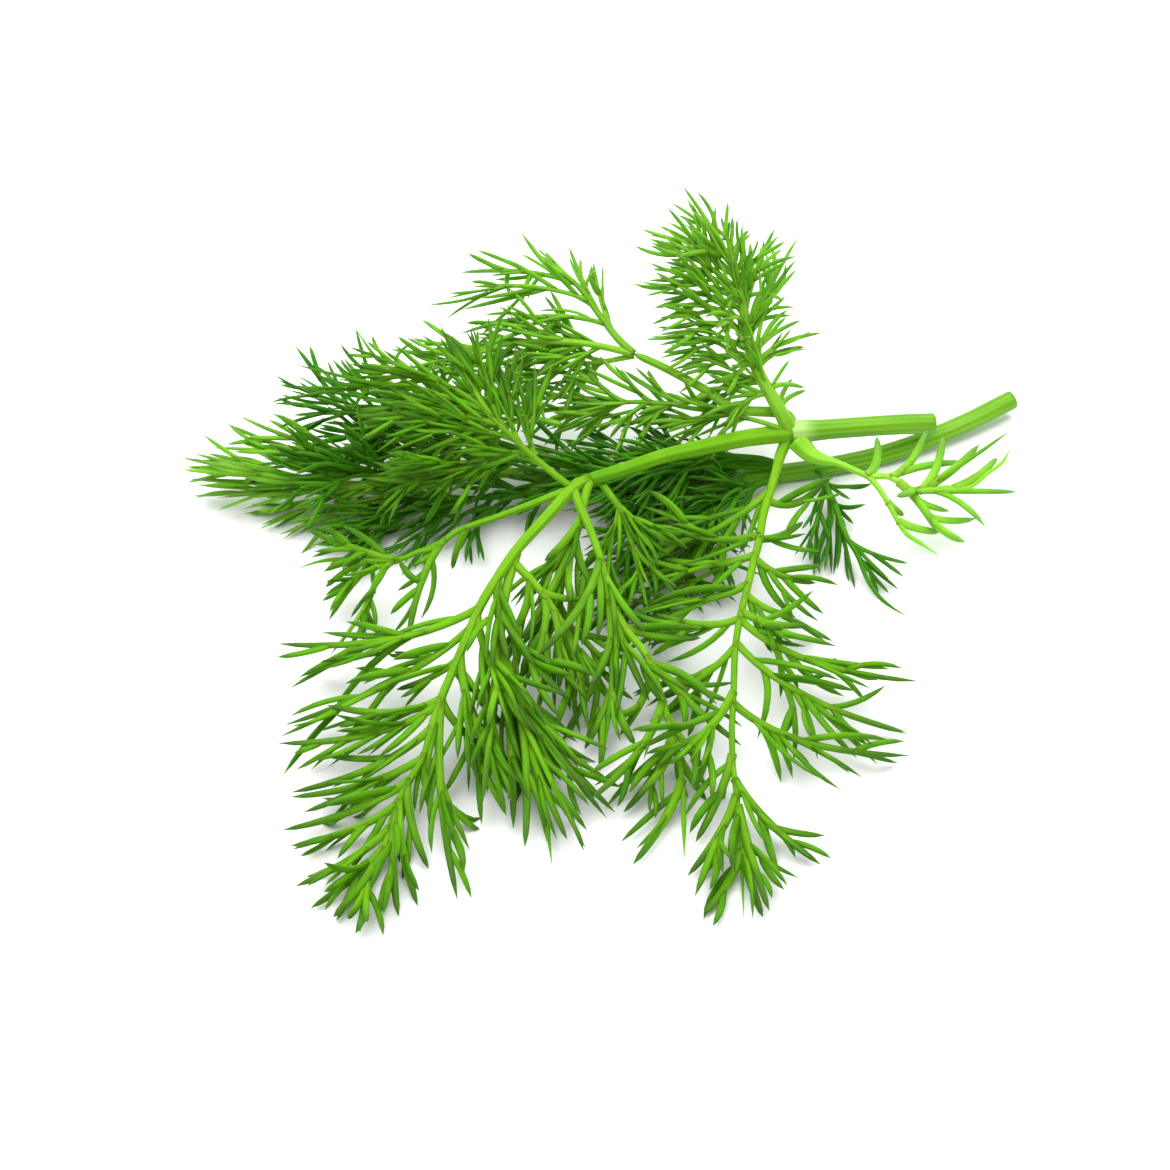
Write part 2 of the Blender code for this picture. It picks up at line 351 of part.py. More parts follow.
class Growth:
    """Every shoot so far, as straight pieces with a radius and the node that they belong to."""

    def __init__(self):
        self.shoots = {}
        self.starts = np.zeros((0, 3))
        self.steps = np.zeros((0, 3))
        self.radii = np.zeros(0)
        self.owners = np.zeros(0, int)

    def add(self, node, line, radii, order):
        self.shoots.setdefault(node, []).append((line, radii, order))
        owner = list(self.shoots).index(node)
        self.starts = np.concatenate([self.starts, line[:-1]])
        self.steps = np.concatenate([self.steps, np.diff(line, axis=0)])
        self.radii = np.concatenate([self.radii, np.maximum(radii[:-1], radii[1:])])
        self.owners = np.concatenate([self.owners, np.full(len(line) - 1, owner)])

    def room(self, node, line, radii):
        """The smallest gap from the line to other nodes' shoots, and from its outer part to its own's."""
        owner = list(self.shoots).index(node)
        low, high = line.min(axis=0) - 6, line.max(axis=0) + 6
        ends = self.starts + self.steps
        near = ((np.minimum(self.starts, ends) < high) & (np.maximum(self.starts, ends) > low)).all(axis=1)
        if not near.any():
            return math.inf, math.inf
        count = max(2, round(length_of(line) / SAMPLE_STEP))
        share, rings = np.linspace(0, 1, count), np.linspace(0, 1, len(line))
        spots = np.stack([np.interp(share, rings, line[:, axis]) for axis in range(3)], axis=1)
        thick = np.interp(share, rings, radii)
        start, step = self.starts[near][None], self.steps[near][None]
        along = ((spots[:, None] - start) * step).sum(axis=2) / (step ** 2).sum(axis=2)
        nearest = start + np.clip(along, 0, 1)[..., None] * step
        gap = np.linalg.norm(spots[:, None] - nearest, axis=2) - thick[:, None] - self.radii[near]
        foreign = self.owners[near] != owner
        others = gap[:, foreign].min() if foreign.any() else math.inf
        own = gap[share > 0.4][:, ~foreign].min() if (~foreign).any() else math.inf
        return others, own


def grow_shoot(growth, node, parent, share, tip, style, order):
    """A shoot from its parent to its tip, which shifts up and forward until it's clear of the other nodes."""
    root, heading = place_on(parent, share)
    radius, taper = (PINNA_RADIUS, PINNA_TAPER) if order == 1 else (LOBE_RADIUS, LOBE_TAPER)
    best = None
    for lift in LIFTS:
        end = np.asarray(tip, float) + (0, -lift, lift)
        reach = end - root
        length = np.linalg.norm(reach)
        middle = root + 0.42 * length * unit((1 - SWING) * heading + SWING * unit(reach))
        count = max(3 if order == 1 else 2, round(length / PINNA_STEP))
        radii = tapered(STYLES[style][-1] * radius, taper, count + 1)
        line = above_table(bow(root, middle, end, count), radii)
        others, own = growth.room(node, line, radii)
        if others > NODE_GAP and (best is None or own > best[0] + 0.1):
            best = own, line, radii
        if best is not None and best[0] > OWN_GAP:
            break
    if best is None:
        return None
    growth.add(node, best[1], best[2], order)
    facing = np.cross(heading, unit(best[1][-1] - root))
    return best[1], unit(facing * (1 if facing[2] > 0 else -1) + (0, -0.1, 0.2))


def grow_laid(growth, node, parent, style, record, order, bearers):
    """A pinna with the threads laid on it. One without a list of threads is a bearer, to get them by rule."""
    share, tip, *threads = record
    shoot = grow_shoot(growth, node, parent, share, tip - ORIGIN, style, order)
    if shoot is None:
        return
    for thread in threads[0] if threads else []:
        grow_laid(growth, node, shoot[0], style, thread, order + 1, bearers)
    if not threads:
        bearers.append((node, *shoot, style))


def grow_lobe(growth, node, root, heading, sideways, facing, length, leaves, style, order=2):
    """A lobe that leaves at an angle and turns back along the heading, bent out of plane until it's clear."""
    for size in (length, 0.7 * length):
        for bend in BENDS:
            aside = math.cos(bend) * sideways + math.sin(bend) * facing
            leaving = math.cos(leaves) * heading + math.sin(leaves) * aside
            ending = math.cos(ENDS_AT) * heading + math.sin(ENDS_AT) * aside
            middle = root + 0.5 * size * leaving
            radii = tapered(STYLES[style][-1] * LOBE_RADIUS, LOBE_TAPER, 3)
            line = above_table(bow(root, middle, middle + 0.5 * size * ending, 2), radii)
            others, own = growth.room(node, line, radii)
            if others > NODE_GAP and own > OWN_GAP:
                growth.add(node, line, radii, order)
                return line
    return None


def grow_lobes(growth, node, line, facing, style, draw):
    """Lobes by turns on one side and the other of a pinna or of a rachis's end, the lower ones forked."""
    spacing, shortest, longest, leaves, _ = STYLES[style]
    leaves = math.radians(leaves)
    length = length_of(line)
    a_side = int(np.clip(round(length * (LAST_LOBE - FIRST_LOBE) / spacing) + 1, 1, MOST_A_SIDE))
    shares = np.linspace(FIRST_LOBE, LAST_LOBE, 2 * a_side)
    for number, share in enumerate(shares):
        side = 1 if number % 2 else -1
        share = float(np.clip(share + draw.uniform(-0.03, 0.03), 0.08, 0.9))
        root, heading = place_on(line, share)
        up = unit(facing + draw.normal(0, 0.16, 3))
        sideways = side * unit(np.cross(up, heading))
        size = float(np.clip(length * (1 - share) + 3.5, shortest, longest)) * draw.uniform(0.85, 1.12)
        lobe = grow_lobe(growth, node, root, heading, sideways, up, size, leaves, style)
        if lobe is not None and share < FORKS_BEFORE and size > 8:
            root, along = place_on(lobe, FORK_AT)
            outer = side * unit(np.cross(up, along))
            grow_lobe(growth, node, root, along, outer, up, FORK_SHARE * size, 0.9 * leaves, style, 3)


def grow_bunch():
    """The whole bunch: the stems, then all the rachises, then all the pinnae, and the lobes last."""
    growth = Growth()
    stems = ("stem_short", SHORT_STEM, SHORT_STEM_RADII), ("stem_long", LONG_STEM, LONG_STEM_RADII)
    for node, points, radii in stems:
        line = smooth_line(points, STEM_STEP)
        where = np.linspace(0, 1, len(line))
        growth.add(node, line - ORIGIN, np.interp(where, np.linspace(0, 1, len(radii)), radii), 0)
    rachises = []
    for node, divisions in FRONDS.items():
        for points, radius, style, pinnae in divisions:
            line = smooth_line(points, RACHIS_STEP) - ORIGIN
            radii = tapered(radius, RACHIS_TAPER if style else PETIOLE_TAPER, len(line))
            line = above_table(line, radii)
            growth.add(node, line, radii, 0)
            rachises.append((node, line, style, pinnae))
    bearers = []
    for node, line, style, pinnae in rachises:
        for record in pinnae:
            grow_laid(growth, node, line, style, record, 1, bearers)
        if style and not any(len(record) > 2 for record in pinnae):
            last = max(2, round(TIP_LENGTH / RACHIS_STEP))
            end = line[-last - 1:]
            facing = np.cross((1.0, 0, 0), end[-1] - end[0])
            facing = unit(facing * (1 if facing[2] > 0 else -1))
            bearers.append((node, end, unit(facing + (0, -0.1, 0.8)), style))
    draw = np.random.default_rng(7)
    for bearer in bearers:
        grow_lobes(growth, *bearer, draw)
    return growth


# Solids.

MATERIALS = {
    "stem_green": ((0.23, 0.46, 0.02, 1), 0.36),
    "leaf_green": ((0.055, 0.25, 0.008, 1), 0.45),
    "leaf_deep_green": ((0.02, 0.13, 0.006, 1), 0.5),
    "leaf_bright_green": ((0.14, 0.42, 0.015, 1), 0.42),
}
NODE_MATERIALS = {
    "stem_short": "stem_green",
    "stem_long": "stem_green",
    "frond_right": "leaf_bright_green",
    "frond_left_end": "leaf_bright_green",
    "frond_right_low": "leaf_deep_green",
    "frond_left_back": "leaf_deep_green",
    "frond_left_low": "leaf_deep_green",
    "frond_middle": "leaf_deep_green",
    "frond_under": "leaf_deep_green",
}


def make_material(name, color, roughness):
    material = bpy.data.materials.new(name)
    material.use_nodes = True
    shader = material.node_tree.nodes["Principled BSDF"]
    shader.inputs["Base Color"].default_value = color
    shader.inputs["Roughness"].default_value = roughness
    shader.inputs["Metallic"].default_value = 0.0
    material.diffuse_color = color
    return material


def polygon_profile(name, sides, collection):
    """A closed flat outline of unit radius, which a shoot's bevel follows."""
    curve = bpy.data.curves.new(name, "CURVE")
    curve.dimensions = "2D"
    spline = curve.splines.new("POLY")
    spline.points.add(sides - 1)
    for number, point in enumerate(spline.points):
        turn = 2 * math.pi * number / sides
        point.co = (MM * math.cos(turn), MM * math.sin(turn), 0, 1)
    spline.use_cyclic_u = True
    profile = bpy.data.objects.new(name, curve)
    collection.objects.link(profile)
    return profile


def shoot_curve(name, line, radii, profile, collection):
    """A shoot as a bevelled curve through its centreline, capped at both ends."""
    curve = bpy.data.curves.new(name, "CURVE")
    curve.dimensions = "3D"
    curve.bevel_mode = "OBJECT"
    curve.bevel_object = profile
    curve.use_fill_caps = True
    spline = curve.splines.new("POLY")
    spline.points.add(len(line) - 1)
    for point, place, radius in zip(spline.points, line * MM, radii):
        point.co = (*place, 1)
        point.radius = radius
    shoot = bpy.data.objects.new(name, curve)
    collection.objects.link(shoot)
    return shoot


def meshes_of(curves, collection):
    """The curves as closed meshes, with their caps welded on, in place of the curves."""
    bpy.context.view_layer.update()
    depsgraph = bpy.context.evaluated_depsgraph_get()
    solids = []
    for curve in curves:
        mesh = bpy.data.meshes.new_from_object(curve.evaluated_get(depsgraph))
        welded = bmesh.new()
        welded.from_mesh(mesh)
        bmesh.ops.remove_doubles(welded, verts=welded.verts, dist=0.00001)
        bmesh.ops.recalc_face_normals(welded, faces=welded.faces)
        welded.to_mesh(mesh)
        welded.free()
        solid = bpy.data.objects.new(curve.name, mesh)
        solid.matrix_world = curve.matrix_world
        collection.objects.link(solid)
        solids.append(solid)
    for curve in curves:
        bpy.data.objects.remove(curve)
    return solids


def largest_body(mesh):
    """Drop the loose scraps that a union leaves, so that one body remains."""
    body = bmesh.new()
    body.from_mesh(mesh)
    left = set(body.verts)
    islands = []
    while left:
        island, edge = set(), [left.pop()]
        while edge:
            vertex = edge.pop()
            island.add(vertex)
            near = {link.other_vert(vertex) for link in vertex.link_edges} & left
            left -= near
            edge += near
        islands.append(island)
    islands.sort(key=len)
    bmesh.ops.delete(body, geom=[vertex for island in islands[:-1] for vertex in island], context="VERTS")
    body.to_mesh(mesh)
    body.free()
    return len(islands) - 1


def joined(name, solids, bunch):
    """One solid from the shoots of a frond, by a single Boolean union of the first with all the rest."""
    rest = bpy.data.collections.new(name + " shoots")
    bpy.context.scene.collection.children.link(rest)
    for solid in solids[1:]:
        rest.objects.link(solid)
        bunch.objects.unlink(solid)
    union = solids[0].modifiers.new("one frond", "BOOLEAN")
    union.operation = "UNION"
    union.operand_type = "COLLECTION"
    union.collection = rest
    union.solver = "MANIFOLD"
    bpy.context.view_layer.update()
    depsgraph = bpy.context.evaluated_depsgraph_get()
    mesh = bpy.data.meshes.new_from_object(solids[0].evaluated_get(depsgraph))
    for solid in solids[1:]:
        bpy.data.objects.remove(solid)
    bpy.data.collections.remove(rest)
    bpy.data.objects.remove(solids[0])
    scraps = largest_body(mesh)
    frond = bpy.data.objects.new(name, mesh)
    bunch.objects.link(frond)
    crossed = slim(frond)
    print(f"{name}: {len(frond.data.polygons)} faces, {scraps} scraps dropped, {crossed} faces cross")
    return frond


def crossings(mesh):
    """The middles of the faces that cross a face with which they share no vertex, and of the open edges."""
    body = bmesh.new()
    body.from_mesh(mesh)
    bmesh.ops.triangulate(body, faces=body.faces)
    tree = BVHTree.FromBMesh(body)
    body.faces.ensure_lookup_table()
    corners = [{vertex.index for vertex in face.verts} for face in body.faces]
    crossed = {one for one, other in tree.overlap(tree) if one != other and not corners[one] & corners[other]}
    middles = [body.faces[number].calc_center_median() for number in sorted(crossed)]
    middles += [(edge.verts[0].co + edge.verts[1].co) / 2 for edge in body.edges if not edge.is_manifold]
    body.free()
    return middles


def slim(frond):
    """Collapse the needless small faces round the roots, but not where the fewer faces would then cross."""
    group = frond.vertex_groups.new(name="slimmed")
    group.add(range(len(frond.data.vertices)), 1.0, "REPLACE")
    places = np.array([vertex.co for vertex in frond.data.vertices])
    decimate = frond.modifiers.new("fewer faces", "DECIMATE")
    decimate.ratio = KEPT_FACES
    decimate.use_collapse_triangulate = True
    decimate.vertex_group = group.name
    decimate.vertex_group_factor = 100.0
    for _ in range(MOST_ROUNDS):
        bpy.context.view_layer.update()
        depsgraph = bpy.context.evaluated_depsgraph_get()
        mesh = bpy.data.meshes.new_from_object(frond.evaluated_get(depsgraph))
        crossed = crossings(mesh)
        if not crossed:
            break
        decimate.ratio += MORE_KEPT
        for middle in crossed:
            near = np.flatnonzero(np.linalg.norm(places - middle, axis=1) < GUARDED * MM)
            group.remove(near.tolist())
    frond.modifiers.clear()
    frond.data = mesh
    frond.vertex_groups.clear()
    return len(crossed)


def cut_flat(solid):
    """Cut the solid off at the table, which leaves the flat spot that it rests on."""
    body = bmesh.new()
    body.from_mesh(solid.data)
    everything = body.verts[:] + body.edges[:] + body.faces[:]
    table = {"plane_co": (0, 0, 0), "plane_no": (0, 0, 1)}
    cut = bmesh.ops.bisect_plane(body, geom=everything, **table, clear_inner=True)
    edges = [part for part in cut["geom_cut"] if isinstance(part, bmesh.types.BMEdge)]
    bmesh.ops.contextual_create(body, geom=edges)
    bmesh.ops.recalc_face_normals(body, faces=body.faces)
    body.to_mesh(solid.data)
    body.free()


def build():
    for old in list(bpy.data.objects):
        bpy.data.objects.remove(old)
    bunch = bpy.data.collections.new("dill bunch")
    bpy.context.scene.collection.children.link(bunch)
    profiles = {sides: polygon_profile(f"profile {sides}", sides, bunch)
                for sides in (STEM_SIDES, RACHIS_SIDES, SHOOT_SIDES)}
    materials = {name: make_material(name, *look) for name, look in MATERIALS.items()}
    for node, shoots in grow_bunch().shoots.items():
        curves = []
        for number, (line, radii, order) in enumerate(shoots):
            sides = STEM_SIDES if node.startswith("stem") else RACHIS_SIDES if order == 0 else SHOOT_SIDES
            curves.append(shoot_curve(f"{node} {number}", line, radii, profiles[sides], bunch))
        solids = meshes_of(curves, bunch)
        if len(solids) > 1:
            solid = joined(node, solids, bunch)
        else:
            solid = solids[0]
            solid.name = node
        if node == "stem_long":
            cut_flat(solid)
        if node.startswith("stem"):
            solid.data.shade_smooth()
            solid.data.set_sharp_from_angle(angle=math.radians(50))
        solid.data.materials.clear()
        solid.data.materials.append(materials[NODE_MATERIALS.get(node, "leaf_green")])
    for profile in profiles.values():
        bpy.data.objects.remove(profile)


if __name__ == "__main__":
    build()
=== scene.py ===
# %% [markdown]
# # A cut bunch of dill
# Dill is an umbrella-flowered herb whose leaves are divided again and again until only threads are left.
# The bunch lies on its side: two cut stems, and the eleven leaves, or fronds, that spring from them. The
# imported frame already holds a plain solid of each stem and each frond. Here every one of them gets its real
# skin: ribbed stems with a cut end and its pith, and smooth curled threads, far more than the solids have.

import math

import bpy
import numpy as np
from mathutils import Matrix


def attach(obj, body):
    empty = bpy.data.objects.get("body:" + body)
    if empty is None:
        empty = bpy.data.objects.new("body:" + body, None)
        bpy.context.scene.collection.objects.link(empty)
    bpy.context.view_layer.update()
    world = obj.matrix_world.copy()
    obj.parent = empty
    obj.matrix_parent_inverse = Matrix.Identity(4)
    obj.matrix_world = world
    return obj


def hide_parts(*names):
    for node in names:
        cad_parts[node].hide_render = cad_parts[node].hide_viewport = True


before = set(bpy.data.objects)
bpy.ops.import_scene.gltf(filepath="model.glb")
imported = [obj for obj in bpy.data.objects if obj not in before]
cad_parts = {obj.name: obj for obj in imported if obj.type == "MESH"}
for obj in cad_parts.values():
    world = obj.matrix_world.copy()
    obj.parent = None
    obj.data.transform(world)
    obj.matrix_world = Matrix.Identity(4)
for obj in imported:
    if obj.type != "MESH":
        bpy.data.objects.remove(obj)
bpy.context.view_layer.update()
print("nodes in the frame:", len(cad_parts))

# %% [markdown]
# ## The camera
# The bunch is seen from in front and half above, through a fairly long lens. The camera comes first,
# because every later step is judged from here. It looks at a point on the table near the middle of the
# fronds, and the lens is worked out from how much of the table the picture should hold.

# %% Camera
MM = 0.001
LOOKS_AT = np.array((-19.5, -26.2, 0.0)) * MM
DISTANCE = 620 * MM
ELEVATION = math.radians(45)
SEEN_WIDTH = 210.6 * MM
SENSOR = 36.0

camera_data = bpy.data.cameras.new("camera")
camera_data.sensor_width = SENSOR
camera_data.lens = SENSOR * DISTANCE / SEEN_WIDTH
camera = bpy.data.objects.new("camera", camera_data)
camera.location = LOOKS_AT + DISTANCE * np.array((0, -math.cos(ELEVATION), math.sin(ELEVATION)))
camera.rotation_euler = (math.pi / 2 - ELEVATION, 0, 0)
bpy.context.scene.collection.objects.link(camera)
bpy.context.scene.camera = camera
print(f"lens {camera_data.lens:.1f} mm")

# %% [markdown]
# ## The skeleton of the bunch
# Everything on a dill plant is a shoot: a stem, the stalk of a frond (its rachis), the side ribs of the
# frond (pinnae), and the threads that they carry (lobes). A shoot is drawn as a line with a radius at each
# point. The stems and the stalks are laid point by point. Lengths are in millimetres, measured
# from a spot on the table near the middle of the bunch. ORIGIN is where the bunch rests, under the middle
# of the long stem, and it is taken off every point.

# %% Stems
ORIGIN = np.array((6.0, 2.2, 0.0))

# Points from the cut end on, and the radius at evenly spaced places along them.
STEMS = {
    "stem_short": (
        [(51, 11.3, 7.2), (44, 9.2, 8.8), (36, 6.8, 10.3), (29, 4.6, 11.6), (26, 3.8, 12),
         (22.8, 3.0, 12.2)],
        [1.9, 1.9, 1.88, 1.86, 1.85, 1.85, 1.85, 1.85, 1.95, 2.25, 2.05]),
    "stem_long": (
        [(67, 22, 3.4), (57, 15.6, 2.8), (45, 9.6, 2.1), (34, 6.1, 1.65), (20, 3.3, 1.52), (6, 2.2, 1.5),
         (-5, 2.0, 1.6), (-16, 2, 2.2), (-29, 1.2, 4)],
        [1.8, 1.8, 1.8, 1.75, 1.75, 1.72, 1.65, 1.5, 1.1]),
}
print("stems:", ", ".join(STEMS))

# %% [markdown]
# ## How threads stand
# No two fronds of a bunch look alike. Open ones have long threads with wide gaps, and the youngest is tufted
# like a brush. So the rule that grows threads takes its numbers from a style, and each division of a frond
# has one.

# %% Styles
# Spacing, shortest and longest length, the angle at which threads leave in degrees, and how broad they are.
STYLES = {
    "combed": (6.4, 9.0, 15.0, 26, 1.15),
    "open": (8.4, 10.5, 18.0, 32, 1.16),
    "free": (7.8, 9.5, 16.0, 32, 1.3),
    "curly": (8.0, 7.5, 12.5, 36, 1.0),
    "tufted": (4.8, 5.5, 10.5, 28, 0.74),
    "fine": (5.8, 7.0, 13.0, 24, 0.74),
    "tail": (5.8, 7.5, 13.0, 20, 0.9),
}
print("styles:", ", ".join(STYLES))
